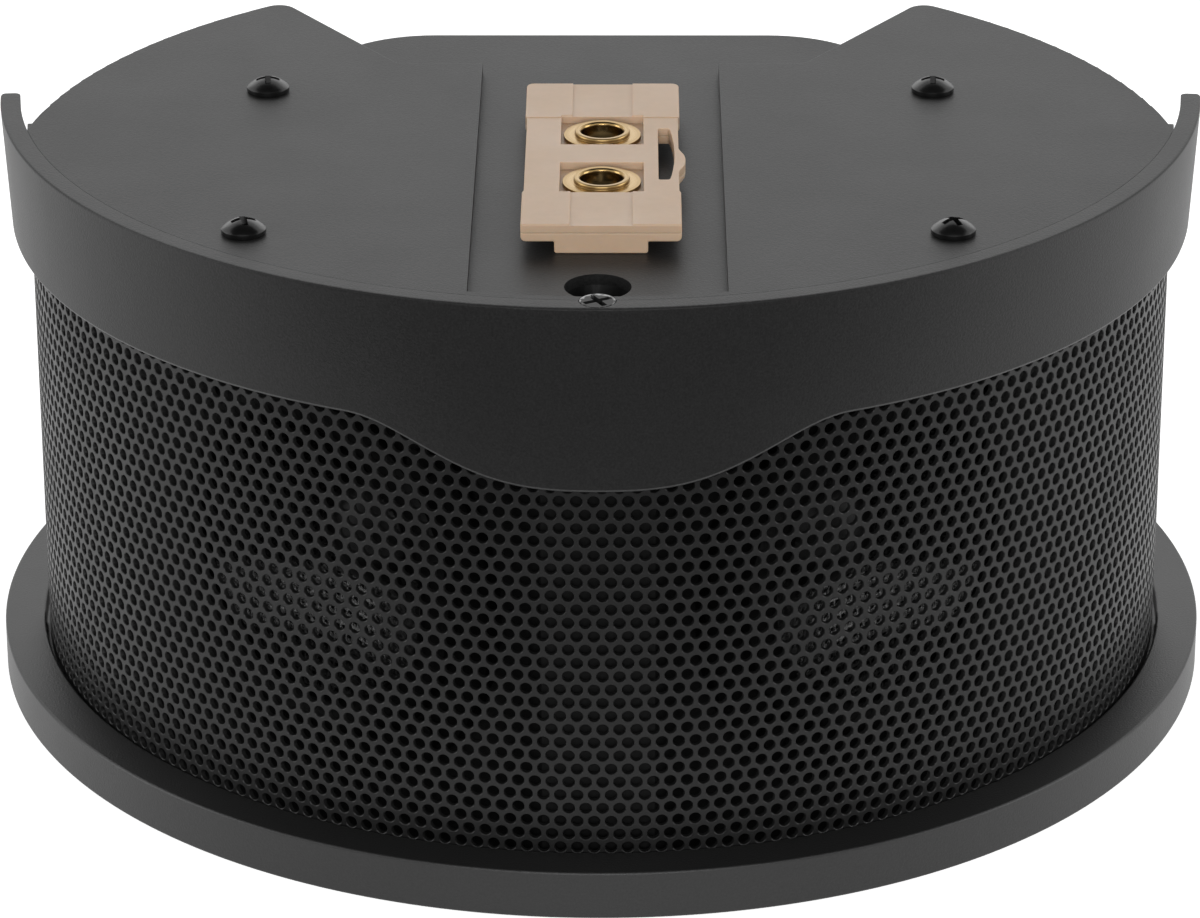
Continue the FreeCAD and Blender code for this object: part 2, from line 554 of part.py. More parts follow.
def driver(side):
    """One loudspeaker driver, piece by piece from the gasket to the back plate."""
    place = driver_placement(side)
    name = side.capitalize()
    pieces = {}
    gasket = turned(name + "Gasket", [
        ("driver_radius - gasket_width", "0"), ("driver_radius", "0"), ("driver_radius", FLANGE_LOW),
        ("driver_radius - gasket_width", FLANGE_LOW)])
    pieces["gasket"] = cut(name + "GasketPunched", gasket, *local_screw_holes(name + "GasketHole"))
    basket = turned(name + "Basket", [
        ("driver_radius", FLANGE_LOW), ("driver_radius", FLANGE_TOP), ("flange_bore", FLANGE_TOP),
        ("flange_bore", FLANGE_LOW), ("basket_back", f"{BASKET_BACK} + basket_wall"),
        ("cone_neck + 3 * coil_gap", f"{BASKET_BACK} + basket_wall"),
        ("cone_neck + 3 * coil_gap", BASKET_BACK),
        ("basket_back + basket_wall", BASKET_BACK), ("basket_top", FLANGE_LOW)])
    level = f"{SPIDER_LEVEL} + 2 * spider_ridge"
    windows = [box(name + "SideWindows", "2 * driver_radius", "window_width", "window_height",
                   "-driver_radius", "-window_width / 2", level),
               box(name + "LowWindow", "window_width", "driver_radius", "window_height",
                   "-window_width / 2", "-driver_radius", level)]
    pieces["frame"] = cut(name + "BasketOpen", basket, *windows, *local_screw_holes(name + "FlangeHole"))
    pieces["surround"] = turned(name + "Surround", roll_section())
    pieces["cone"] = turned(name + "Cone", [
        ("surround_inner + surround_lip", FLANGE_TOP), ("surround_inner", FLANGE_TOP),
        ("cone_neck", f"{FLANGE_TOP} - cone_depth"),
        ("cone_neck", f"{FLANGE_TOP} - cone_depth - cone_sheet"),
        ("surround_inner + cone_sheet / 2", f"{FLANGE_TOP} - cone_sheet"),
        ("surround_inner + surround_lip", f"{FLANGE_TOP} - cone_sheet")])
    pieces["dust_cap"] = dust_cap(name)
    coil_top = f"{FLANGE_TOP} - cone_depth"
    pieces["voice_coil"] = turned(name + "Coil", [
        ("cone_neck - coil_sheet", f"{coil_top} - coil_length"), ("cone_neck", f"{coil_top} - coil_length"),
        ("cone_neck", coil_top), ("cone_neck - coil_sheet", coil_top)])
    pieces["spider"] = turned(name + "Spider", spider_section())
    pieces["top_yoke"] = turned(name + "TopYoke", [
        ("cone_neck + coil_gap", YOKE_BACK), ("basket_back", YOKE_BACK), ("basket_back", BASKET_BACK),
        ("cone_neck + coil_gap", BASKET_BACK)])
    pieces["magnet"] = turned(name + "Magnet", [
        ("cone_neck + 3 * coil_gap", MAGNET_BACK), ("magnet_radius", MAGNET_BACK),
        ("magnet_radius", YOKE_BACK),
        ("cone_neck + 3 * coil_gap", YOKE_BACK)])
    pieces["back_yoke"] = turned(name + "BackYoke", [
        ("0", f"{MAGNET_BACK} - yoke_plate"), ("basket_back", f"{MAGNET_BACK} - yoke_plate"),
        ("basket_back", MAGNET_BACK), ("pole_radius", MAGNET_BACK), ("pole_radius", BASKET_BACK),
        ("0", BASKET_BACK)])
    block = box(name + "Block", "tag_width", "tag_saddle + tag_thickness", "tag_length", "-tag_width / 2",
                "tag_reach - tag_saddle", "-tag_depth - tag_length")
    wall = cone(name + "BasketSide", "basket_back + basket_wall", "basket_top",
                "basket_depth + gasket_thickness", z=BASKET_BACK)
    strip = cut(name + "Strip", block, wall)
    tags = []
    for index, middle in enumerate(("-lead_spacing / 2", "lead_spacing / 2")):
        tags.append(box(f"{name}Tag{index}", "tag_blade", "tag_thickness / 2", "2 * tag_length",
                        f"{middle} - tag_blade / 2", "tag_reach + tag_thickness / 4",
                        "-tag_depth - 2 * tag_length"))
    pieces["terminals"] = fuse(name + "Terminals", strip, *tags)
    for piece, feature in pieces.items():
        feature.Placement = place
        node(f"{side}_{piece}", feature)
    node(f"{side}_leads", group(name + "Leads", *leads(side)))


def leads(side):
    """Two insulated wires from the socket lugs to a driver's terminals."""
    sign = SIDES[side]
    place = driver_placement(side)
    radius = number("lead_radius")
    level = number(f"{BOSS_LOW} - lug_thickness / 2")
    wires = []
    for socket, shift in (("rear_window", sign), ("front_window", -sign)):
        lug = Vector(number("block_offset") + sign * number("lug_radius + lead_gap"), number(socket), level)
        tag = place.multVec(Vector(shift * number("lead_spacing / 2"),
                                   number("tag_reach + tag_thickness + lead_gap"),
                                   -number("tag_depth + tag_length / 2")))
        out = lug + Vector(sign * number("lead_run"), 0, -number("lead_drop"))
        above = tag + Vector(0, 0, number("lead_rise"))
        wires.append(solid(f"Lead_{side}_{socket}", tube([lug, out, above, tag], radius)))
    return wires


def tube(points, radius):
    """A round wire along straight runs joined by arcs as large as the shorter run allows."""
    edges = []
    start = points[0]
    for before, corner, after in zip(points, points[1:], points[2:]):
        back, ahead = (before - corner), (after - corner)
        reach = BEND_SHARE * min(back.Length, ahead.Length)
        entry = corner + back.normalize() * reach
        leave = corner + ahead.normalize() * reach
        turn = math.pi - back.getAngle(ahead)
        bend = reach / math.tan(turn / 2)
        inward = (back + ahead).normalize()
        crown = corner + inward * (bend / math.cos(turn / 2) - bend)
        edges += [Part.LineSegment(start, entry).toShape(), Part.Arc(entry, crown, leave).toShape()]
        start = leave
    edges.append(Part.LineSegment(start, points[-1]).toShape())
    circle = Part.Wire([Part.Circle(points[0], points[1] - points[0], radius).toShape()])
    return Part.Wire(edges).makePipeShell([circle], True, True)


def local_screw_holes(name):
    """Clearance holes through the flange, in the driver's own frame."""
    reach = "(driver_radius - driver_screw_inset) * cos(45)"
    holes = []
    for index, (x, y) in enumerate(((1, 1), (-1, 1), (-1, -1), (1, -1))):
        holes.append(cylinder(f"{name}{index}", "driver_screw_radius + screw_clearance",
                              "4 * flange_thickness", f"{x} * {reach}", f"{y} * {reach}",
                              "-flange_thickness"))
    return holes


def roll_section():
    """A half-round roll of thin rubber, stood on the cone's lip and the flange's inner edge."""
    steps = 6
    middle = "((surround_inner + flange_bore) / 2 + surround_seat)"
    reach = "((flange_bore - surround_inner) / 2 + surround_seat)"
    points = []
    for step in range(steps + 1):
        angle = 180 * step / steps
        points.append((f"{middle} + {reach} * cos({angle})", f"{FLANGE_TOP} + {reach} * sin({angle})"))
    for step in range(steps, -1, -1):
        angle = 180 * step / steps
        points.append((f"{middle} + ({reach} - surround_sheet) * cos({angle})",
                       f"{FLANGE_TOP} + ({reach} - surround_sheet) * sin({angle})"))
    return points


def spider_section():
    """A corrugated cloth ring from the coil to the basket."""
    ridges = 4
    inner = "(cone_neck)"
    outer = (f"(basket_back - spider_gap + (flange_bore - basket_back) * ({SPIDER_LEVEL} - spider_sheet"
             " + basket_depth - basket_wall) / (gasket_thickness + basket_depth - basket_wall))")
    level = f"({SPIDER_LEVEL})"
    low, high = [], []
    for step in range(2 * ridges + 1):
        radius = f"{inner} + ({outer} - {inner}) * {step} / {2 * ridges}"
        lift = "spider_ridge" if step % 2 else "0"
        low.append((radius, f"{level} - spider_sheet + {lift}"))
        high.append((radius, f"{level} + {lift}"))
    return low + high[::-1]


def dust_cap(name):
    """A shallow dome over the coil."""
    foot = number("cone_neck")
    rise = number("cap_rise")
    ball = (foot * foot + rise * rise) / (2 * rise)
    low = number(f"{FLANGE_TOP} - cone_depth")
    centre = Vector(0, 0, low + rise - ball)
    dome = Part.makeSphere(ball, centre).cut(Part.makeSphere(ball - number("cone_sheet"), centre))
    keep = Part.makeCylinder(foot, 2 * rise, Vector(0, 0, low))
    return solid(name + "Cap", dome.common(keep))


def screw(name, x, y, seat, head_shape, length, radius):
    """A screw standing on its seat: the shank goes down from it and the head stands on it."""
    shank = cylinder(name + "Shank", radius, length, x, y, f"{seat} - ({length})")
    return fuse(name, shank, *head_shape)


def pan_head(name, x, y, seat):
    side = cylinder(name + "Side", "plate_screw_head", "head_side", x, y, seat)
    dome = cone(name + "Dome", "plate_screw_head", "head_flat", "head_dome", x, y, f"{seat} + head_side")
    return side, dome


def fasteners():
    screws = []
    for index, (x, y) in enumerate(PLATE_SCREWS):
        name = f"PlateScrew{index}"
        screws.append(screw(name, x, y, "top_height", pan_head(name + "Head", x, y, "top_height"),
                            "plate_screw_length", "plate_screw_radius"))
    node("top_plate_screws", group("PlateScrews", *screws))
    sink = cone("SeamHead", "seam_screw_radius", "seam_screw_head", "seam_screw_cone", "0", SEAM_Y,
                "top_height - seam_screw_cone")
    node("seam_screw", screw("SeamScrew", "0", SEAM_Y, "top_height", (sink,), "seam_screw_length",
                             "seam_screw_radius"))
    screws = []
    for index, (x, y) in enumerate(BASE_SCREWS):
        head = cylinder(f"BaseScrewHead{index}", "base_screw_head", "base_head_height", x, y, "0")
        shank = cylinder(f"BaseScrewShank{index}", "base_screw_radius",
                         f"{POCKET} + base_screw_length - pilot_spare", x, y, "0")
        screws.append(fuse(f"BaseScrew{index}", head, shank))
    node("base_screws", group("BaseScrews", *screws))
    screws = []
    for side in SIDES:
        for index in range(DRIVER_SCREW_COUNT):
            screws.append(driver_screw(side, index))
    node("driver_screws", group("DriverScrews", *screws))


def driver_screw(side, index):
    name = f"DriverScrew_{side}{index}"
    head = cylinder(name + "Head", "driver_screw_head", "driver_head_height", z=FLANGE_TOP)
    shank = cylinder(name + "Shank", "driver_screw_radius",
                     f"driver_screw_length + {FLANGE_TOP} - pilot_spare",
                     z="pilot_spare - driver_screw_length")
    whole = fuse(name, head, shank)
    whole.Placement = driver_screw_place(side, index)
    return whole


BLOCK_TOP = f"{DECK} + foot_height + block_lower + block_upper"
PARTING = f"{DECK} + foot_height + block_lower"
BLOCK_LEFT = "block_offset - block_width / 2"
RING_TOP = f"{BLOCK_TOP} - ring_drop"


def slab(name, height, z):
    """The block's outline: slightly waisted along the middle of both long sides."""
    whole = box(name + "Slab", "block_width", "block_length", height, BLOCK_LEFT, "block_front", z)
    waists = []
    for index, x in enumerate((f"{BLOCK_LEFT} - waist_inset", f"{BLOCK_LEFT} + block_width - waist_inset")):
        waists.append(box(f"{name}Waist{index}", "2 * waist_inset", "waist_back - waist_front", height,
                          x, "waist_front", z))
    bump = common(name + "Bump",
                  cylinder(name + "BumpRound", "bump_radius", height,
                           f"{BLOCK_LEFT} + block_width + bump_out - bump_radius", "bump_centre", z),
                  box(name + "BumpSide", "bump_radius", "4 * bump_radius", height,
                      f"{BLOCK_LEFT} + block_width - 4 * waist_inset", "bump_centre - 2 * bump_radius", z))
    return fuse(name, cut(name + "Waisted", whole, *waists), bump)


def latch_slot(name, height, z):
    return box(name, "slot_width", "slot_length", height, f"{BLOCK_LEFT} + block_width - slot_edge",
               "slot_front", z)


def contact_block():
    lower = slab("BlockLower", "block_lower", f"{DECK} + foot_height")
    foot = box("BlockFoot", "foot_width", "block_length", "foot_height", "block_offset - foot_width / 2",
               "block_front", DECK)
    base = fuse("BlockBase", lower, foot)
    seats = [latch_slot("LowerSlot", "2 * block_lower", f"{DECK} + foot_height - block_lower / 2")]
    windows = [latch_slot("UpperSlot", "2 * block_upper", f"{PARTING} - block_upper / 2")]
    for name, y in SOCKETS.items():
        seats.append(cylinder(f"Seat_{name}", "ring_bore + cup_wall + screw_clearance",
                              "2 * foot_height + block_lower", "block_offset", y,
                              f"{DECK} - foot_height / 2"))
        windows.append(box(f"Window_{name}", "window_x", "window_y", "2 * block_upper",
                           "block_offset - window_x / 2", f"{y} - window_y / 2",
                           f"{PARTING} - block_upper / 2"))
    node("contact_base", cut("ContactBase", base, *seats))
    node("contact_cover", cut("ContactCover", slab("BlockUpper", "block_upper", PARTING), *windows))
    screws, lugs, nuts = [], [], []
    for name, y in SOCKETS.items():
        cup_floor = f"{DECK} + cup_wall"
        cup = turned(name.title().replace("_", ""), [
            ("socket_screw_radius + screw_clearance", DECK), ("ring_bore + cup_wall", DECK),
            ("ring_bore + cup_wall", PARTING), ("ring_radius", PARTING),
            ("ring_radius", f"{RING_TOP} - ring_chamfer"), ("ring_radius - ring_chamfer", RING_TOP),
            ("ring_bore + ring_round", RING_TOP), ("ring_bore", f"{RING_TOP} - ring_round"),
            ("ring_bore", cup_floor),
            ("socket_screw_radius + screw_clearance", cup_floor)])
        move(cup, "block_offset", y)
        node(name, cup)
        label = f"SocketScrew_{name}"
        head = cone(label + "Head", "socket_screw_head", "socket_screw_flat", "socket_screw_rise",
                    "block_offset", y, cup_floor)
        screws.append(screw(label, "block_offset", y, cup_floor, (head,),
                            "socket_screw_length", "socket_screw_radius"))
        hole = cylinder(f"LugHole_{name}", "socket_screw_radius + screw_clearance",
                        "2 * (lug_thickness + nut_height)", "block_offset", y,
                        f"{BOSS_LOW} - 1.5 * (lug_thickness + nut_height)")
        lug = cylinder(f"LugDisc_{name}", "lug_radius", "lug_thickness", "block_offset", y,
                       f"{BOSS_LOW} - lug_thickness")
        lugs.append(cut(f"Lug_{name}", lug, hole))
        hexagon = doc.addObject("Part::Prism", f"NutHexagon_{name}")
        hexagon.Polygon = 6
        bind(hexagon, Circumradius="nut_radius", Height="nut_height")
        move(hexagon, "block_offset", y, f"{BOSS_LOW} - lug_thickness - nut_height")
        nuts.append(cut(f"Nut_{name}", hexagon, hole))
    node("socket_screws", group("SocketScrews", *screws))
    node("socket_lugs", group("SocketLugs", *lugs))
    node("socket_nuts", group("SocketNuts", *nuts))


def write_steps():
    doc.recompute()
    for item in doc.Objects:
        if "Invalid" in item.State or "Error" in item.State:
            raise RuntimeError(f"{item.Name} failed: {item.State}")
    for name, feature in NODES:
        if feature.Shape.isNull() or not feature.Shape.isValid():
            raise RuntimeError(f"{name} has no valid shape")
    os.makedirs("parts", exist_ok=True)
    for name, feature in NODES:
        feature.Shape.exportStep(f"parts/{name}.step")
        print(name, len(feature.Shape.Solids), round(feature.Shape.Volume, 1))


base_disc()
cabinet()
grille()
front_band()
top_plate()
contact_block()
for driver_side in SIDES:
    driver(driver_side)
fasteners()
write_steps()
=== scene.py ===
"""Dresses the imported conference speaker: real perforation, rounded edges, recessed screws and finishes."""

import json
import math

import bpy
from mathutils import Euler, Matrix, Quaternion, Vector


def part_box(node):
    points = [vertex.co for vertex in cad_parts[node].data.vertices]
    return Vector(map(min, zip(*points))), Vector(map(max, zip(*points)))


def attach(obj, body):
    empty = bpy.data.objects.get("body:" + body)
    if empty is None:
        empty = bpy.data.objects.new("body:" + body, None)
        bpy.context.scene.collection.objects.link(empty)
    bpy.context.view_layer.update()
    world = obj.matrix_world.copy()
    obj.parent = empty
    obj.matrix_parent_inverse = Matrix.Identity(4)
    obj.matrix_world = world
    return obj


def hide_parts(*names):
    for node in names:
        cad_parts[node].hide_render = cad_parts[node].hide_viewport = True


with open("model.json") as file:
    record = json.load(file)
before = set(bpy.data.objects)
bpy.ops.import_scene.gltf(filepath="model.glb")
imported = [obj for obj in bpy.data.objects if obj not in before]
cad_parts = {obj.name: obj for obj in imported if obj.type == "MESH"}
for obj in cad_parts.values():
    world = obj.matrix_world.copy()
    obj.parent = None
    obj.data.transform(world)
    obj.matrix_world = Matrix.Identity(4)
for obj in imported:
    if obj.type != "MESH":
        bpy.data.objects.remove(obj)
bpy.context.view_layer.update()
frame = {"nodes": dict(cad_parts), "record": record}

bl_info = {
    "name": "Conference Speaker",
    "version": (1, 0, 0),
    "blender": (4, 5, 0),
    "location": "View3D > Sidebar > Speaker",
    "description": "Builds the finished looks of a half-round conference speaker around its CAD frame",
    "category": "Object",
}

MM = 0.001
# Corners this near each other count as level or in line, and a face this level counts as flat.
CLOSE = 1e-6
FLAT = 0.9
SMALL_ROUND = 48
# Width of the patches of duller and glossier finish, and the period of a wave texture at a scale of one.
GLOSS_PATCH = 18 * MM
WAVE_PERIOD = 0.314


def linear(code):
    """Linear RGB from an sRGB hex code."""
    shares = [int(code[start:start + 2], 16) / 255 for start in (1, 3, 5)]
    return [s / 12.92 if s <= 0.04045 else ((s + 0.055) / 1.055) ** 2.4 for s in shares]


def length(name, description, millimetres):
    return bpy.props.FloatProperty(name=name, description=description, default=millimetres * MM,
                                   unit="LENGTH", subtype="DISTANCE", precision=5)


def colour(name, description, code):
    return bpy.props.FloatVectorProperty(name=name, description=description, default=linear(code),
                                         size=3, subtype="COLOR", min=0.0, max=1.0)


def low(node):
    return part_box(node)[0]


def high(node):
    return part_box(node)[1]


def centre(node):
    start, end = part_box(node)
    return (start.x + end.x) / 2, (start.y + end.y) / 2


class SpeakerSizes(bpy.types.PropertyGroup):
    """Sizes that the looks add to the CAD frame."""

    disc_round: length("Disc edge", "Radius along the base disc's rims", 0.5)
    pocket_gap: length("Pocket gap", "Dark gap between grille and disc", 1.1)
    pocket_depth: length("Pocket depth", "How far the grille stands in the disc", 3.0)
    hole_pitch: length("Hole pitch", "From one grille hole to the next", 3.0)
    hole_radius: length("Hole radius", "Radius of a grille hole", 1.08)
    hole_edge: length("Hole edge", "Width of a hole's rolled edge", 0.12)
    first_row: length("First row", "Height of the lowest row of holes", 9.7)
    grille_sheet: length("Grille sheet", "Thickness of the grille", 1.0)
    band_taper: length("Band taper", "How far the band's lower edge stands back", 1.3)
    band_height: length("Band height", "Height of the band at its sides", 23.7)
    band_round: length("Band edge", "Radius along the band's edges", 0.6)
    arm_round: length("Arm end", "Radius of the arms' upright end corners", 1.2)
    bell_drop: length("Bell drop", "How far the apron hangs at the front", 11.2)
    bell_half_angle: bpy.props.FloatProperty(
        name="Bell half angle", description="Half of the arc that the apron spans",
        default=math.radians(23.3), unit="ROTATION", subtype="ANGLE")
    bell_power: bpy.props.FloatProperty(
        name="Bell power", description="How far the apron's flat middle reaches", default=1.5)
    plate_round: length("Plate edge", "Radius along the top plate's edges", 0.2)
    block_lower: length("Block belly height", "Height of the lower moulding over its foot", 1.6)
    block_round: length("Block edge", "Radius along the block's edges", 0.3)
    block_corner: length("Block corner", "Radius of the block's rear corners", 1.4)
    block_belly: length("Block belly", "Radius along its lower long edges", 0.9)
    foot_half: length("Foot half width", "Half the width of the block's foot", 8.2)
    foot_round: length("Foot edge", "Radius along the foot's lower long edges", 0.5)
    waist_inset: length("Waist inset", "How far the sides stand back between pads", 0.3)
    waist_front: length("Waist front", "Where the front pads end", -66.4)
    waist_back: length("Waist back", "Where the rear pads end", -29.6)
    pad_step: length("Pad step", "How far the four corner pads stand up", 0.14)
    pad_gap: length("Pad gap", "How far the strip between pads lies lower", 0.28)
    pad_inner: length("Pad inner side", "From the block's middle to the pads", 5.5)
    bump_out: length("Bump", "How far the latch bump stands out", 0.9)
    bump_middle: length("Bump middle", "Where the latch bump peaks", -51.0)
    bump_half: length("Bump half length", "Half the length of the latch bump", 6.2)
    slot_side: length("Slot side", "From the block's side to the latch slot", 3.95)
    slot_front: length("Slot front", "Front end of the latch slot", -60.7)
    slot_length: length("Slot length", "Length of the latch slot", 25.7)
    slot_width: length("Slot width", "Width of the latch slot at its ends", 2.05)
    slot_belly: length("Slot belly", "How far the slot's outer side bows out", 0.85)
    window_x: length("Window width", "Width of a ring's window", 14.9)
    window_y: length("Window length", "Length of a ring's window", 14.4)
    ring_bore: length("Ring bore", "Inner radius of a contact ring", 3.8)
    lip_width: length("Lip width", "Width of the ring's rolled lip", 1.2)
    lip_flare: length("Lip flare", "Radius of the lip towards the bore", 0.7)
    lip_round: length("Lip round", "Radius of the lip towards its flange", 0.45)
    lip_rise: length("Lip rise", "How far the lip stands over its flange", 0.85)
    cup_wall: length("Cup wall", "Thickness of a contact cup", 0.8)
    head_side: length("Head side", "Height of a plate screw's upright side", 0.9)
    recess_width: length("Recess width", "Width of a cross recess's arms", 1.2)


class SpeakerColours(bpy.types.PropertyGroup):
    """Colours of the finishes."""

    coat: colour("Coat", "Satin powder coat on the top plate", "#1a1a1a")
    # The band's coat is the plate's coat made darker: painted shade for the band's front, which faces away
    # from the light.
    band: colour("Band", "Powder coat on the front band", "#161616")
    disc: colour("Disc coat", "Satin powder coat on the base disc", "#121212")
    grille: colour("Grille", "Powder coat on the perforated sheet", "#191919")
    cabinet: colour("Cabinet", "Moulded cabinet", "#0a0a0a")
    block: colour("Block", "Moulded contact block", "#bea389")
    brass: colour("Brass", "Contact rings", "#9c8256")
    oxide: colour("Black oxide", "Plate screws", "#0b0b0b")
    zinc: colour("Zinc", "Bright screws", "#9a9b9e")


def sizes():
    return bpy.context.scene.speaker_sizes


def colours():
    return bpy.context.scene.speaker_colours


def clear_selection():
    if bpy.context.mode != "OBJECT":
        bpy.ops.object.mode_set(mode="OBJECT")
    bpy.ops.object.select_all(action="DESELECT")


def focus(piece):
    """Makes one object the only selected and the active one."""
    clear_selection()
    piece.select_set(True)
    bpy.context.view_layer.objects.active = piece


def apply_place():
    """Puts the active object's place, turn and size into its mesh."""
    bpy.ops.object.transform_apply(location=True, rotation=True, scale=True)


def settle(name, scale=(1, 1, 1)):
    """Names the new object and puts its place and size into its mesh."""
    piece = bpy.context.object
    piece.name = name
    piece.scale = scale
    apply_place()
    return piece


def cylinder(name, radius, bottom, top, x=0.0, y=0.0, vertices=96):
    clear_selection()
    bpy.ops.mesh.primitive_cylinder_add(vertices=vertices, radius=radius, depth=top - bottom,
                                        location=(x, y, (bottom + top) / 2))
    return settle(name)


def block(name, corner, opposite):
    clear_selection()
    start, end = Vector(corner), Vector(opposite)
    bpy.ops.mesh.primitive_cube_add(size=1, location=(start + end) / 2)
    return settle(name, end - start)


def select(piece, kind, wanted):
    """Opens a piece for editing with only the wanted corners, edges or faces selected."""
    focus(piece)
    bpy.ops.object.mode_set(mode="EDIT")
    bpy.ops.mesh.select_mode(type=kind)
    bpy.ops.mesh.select_all(action="DESELECT")
    bpy.ops.object.mode_set(mode="OBJECT")
    mesh = piece.data
    if kind == "VERT":
        for vertex in mesh.vertices:
            vertex.select = wanted(vertex.co)
    elif kind == "EDGE":
        for edge in mesh.edges:
            start, end = (mesh.vertices[index].co for index in edge.vertices)
            edge.select = wanted(start, end)
    else:
        for face in mesh.polygons:
            face.select = wanted(face.center, face.normal)
    bpy.ops.object.mode_set(mode="EDIT")


def close():
    bpy.ops.object.mode_set(mode="OBJECT")


def edit(piece, kind, wanted, operator, **settings):
    """Runs one operator on the wanted corners, edges or faces of a piece."""
    select(piece, kind, wanted)
    operator(**settings)
    close()


def everything(*_):
    return True


def nothing(*_):
    return False


def facing_up(_, normal):
    return normal.z > FLAT


def facing_down(_, normal):
    return normal.z < -FLAT


def level_edge(level):
    """Picks edges that lie at one height."""
    return lambda start, end: abs(start.z - level) < CLOSE and abs(end.z - level) < CLOSE


def upright_edge(start, end):
    return (start.xy - end.xy).length < CLOSE


def long_edge(start, end):
    """Whether an edge runs from front to back."""
    return abs(start.x - end.x) < CLOSE and abs(start.z - end.z) < CLOSE


def extrude(rise):
    """Draws the selected faces up, or down where the rise is negative."""
    bpy.ops.mesh.extrude_region_move(TRANSFORM_OT_translate={"value": (0, 0, rise)})


def extrude_edges(x=0.0, z=0.0):
    bpy.ops.mesh.extrude_edges_move(TRANSFORM_OT_translate={"value": (x, 0, z)})


def move(piece, wanted, x=0.0, y=0.0, z=0.0):
    """Shifts those corners that are picked by their place."""
    edit(piece, "VERT", wanted, bpy.ops.transform.translate, value=(x, y, z))


def merge(piece, distance=0.002 * MM):
    """Joins corners that nearly coincide."""
    edit(piece, "VERT", everything, bpy.ops.mesh.remove_doubles, threshold=distance)


def turn_outwards(piece):
    edit(piece, "VERT", everything, bpy.ops.mesh.normals_make_consistent, inside=False)


def modify(piece, kind, **settings):
    """Adds a modifier with its settings and applies it."""
    focus(piece)
    modifier = piece.modifiers.new(kind.title(), kind)
    for name, value in settings.items():
        setattr(modifier, name, value)
    bpy.ops.object.modifier_apply(modifier=modifier.name)


def carve(piece, tool):
    modify(piece, "BOOLEAN", operation="DIFFERENCE", object=tool, solver="EXACT")
    bpy.data.objects.remove(tool)


def round_edges(piece, wanted, radius, segments=4):
    """Rounds those edges that are picked by their two ends."""
    edit(piece, "EDGE", wanted, bpy.ops.mesh.bevel, offset=radius, segments=segments, affect="EDGES")


def ease(piece, width, segments=3, angle=35.0, finer=(), clamp=True):
    """Rounds every edge sharper than the angle; finer pairs chosen edges with their share of the width."""
    select(piece, "EDGE", nothing)
    bpy.ops.mesh.edges_select_sharp(sharpness=math.radians(angle))
    bpy.ops.transform.edge_bevelweight(value=1.0)
    close()
    for wanted, share in finer:
        edit(piece, "EDGE", wanted, bpy.ops.transform.edge_bevelweight, value=share - 1.0)
    modify(piece, "BEVEL", width=width, segments=segments, limit_method="WEIGHT", use_clamp_overlap=clamp)
    piece.data.attributes.remove(piece.data.attributes["bevel_weight_edge"])


def join(pieces, name):
    clear_selection()
    for piece in pieces:
        piece.select_set(True)
    bpy.context.view_layer.objects.active = pieces[0]
    bpy.ops.object.join()
    pieces[0].name = name
    return pieces[0]


def dress(piece, nodes, material, angle=30.0):
    """Smooths a finished piece, gives it its finish and stands it in for its CAD nodes."""
    focus(piece)
    bpy.ops.object.shade_smooth_by_angle(angle=math.radians(angle))
    modify(piece, "WEIGHTED_NORMAL", keep_sharp=True)
    piece.data.materials.clear()
    piece.data.materials.append(material)
    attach(piece, "root")
    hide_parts(*nodes)


def merged_copy(node, name):
    """A copy of a CAD node with its loose triangles joined, for smooth shading."""
    clear_selection()
    piece = bpy.data.objects.new(name, frame["nodes"][node].data.copy())
    bpy.context.scene.collection.objects.link(piece)
    merge(piece)
    return piece


def solid_centres(node, count, spread=9 * MM):
    """Centres of the separate solids of a fastener node, none wider than the spread, from its mesh."""
    solids = []
    for vertex in frame["nodes"][node].data.vertices:
        place = vertex.co.xy
        for solid in solids:
            if (solid[0] - place).length < spread:
                solid.append(place)
                break
        else:
            solids.append([place])
    if len(solids) != count:
        raise RuntimeError(f"{node} has {len(solids)} solids, not {count}")
    return [[(min(values) + max(values)) / 2 for values in zip(*solid)] for solid in solids]


def base_screw_places():
    return solid_centres("base_screws", 3)


def add(material, kind, inputs=None, **settings):
    """Adds a shader node, sets it and links those inputs that are given as sockets."""
    made = material.node_tree.nodes.new("ShaderNode" + kind)
    for name, value in settings.items():
        setattr(made, name, value)
    for name, value in (inputs or {}).items():
        if isinstance(value, bpy.types.NodeSocket):
            material.node_tree.links.new(value, made.inputs[name])
        else:
            made.inputs[name].default_value = value
    return made


def new_material(name, **constants):
    """A material with one shader, its plain numbers and colours set on the shader's own sockets."""
    material = bpy.data.materials.new(name)
    material.use_nodes = True
    shader = material.node_tree.nodes["Principled BSDF"]
    for socket, value in constants.items():
        shader.inputs[socket.replace("_", " ")].default_value = value
    return material, shader


def connect(material, shader, **outputs):
    """Links outputs to the shader's sockets, which are named with underscores."""
    for socket, output in outputs.items():
        material.node_tree.links.new(output, shader.inputs[socket.replace("_", " ")])


def mottled(name, tone, spread, grain, relief, rough, uneven, **constants):
    """A finish with specks, each grain wide and relief high in mm, and with uneven gloss."""
    material, shader = new_material(name, **constants)
    place = add(material, "TexCoord").outputs["Object"]
    speck = add(material, "TexNoise", {
        "Vector": place, "Scale": 1 / (grain * MM), "Detail": 2.0, "Roughness": 0.6}).outputs["Fac"]
    ramp = add(material, "ValToRGB", {"Fac": speck})
    for stop, share, position in zip(ramp.color_ramp.elements, (1 - spread, 1 + spread), (0.3, 0.7)):
        stop.color = [min(1.0, channel * share) for channel in tone] + [1.0]
        stop.position = position
    patches = add(material, "TexNoise", {"Vector": place, "Scale": 1 / GLOSS_PATCH, "Detail": 3.0})
    gloss = add(material, "MapRange", {
        "Value": patches.outputs["Fac"], "From Min": 0.3, "From Max": 0.7,
        "To Min": rough - uneven, "To Max": rough + uneven})
    bump = add(material, "Bump", {"Height": speck, "Strength": 1.0, "Distance": relief * MM})
    connect(material, shader, Base_Color=ramp.outputs["Color"], Roughness=gloss.outputs["Result"],
            Normal=bump.outputs["Normal"])
    return material


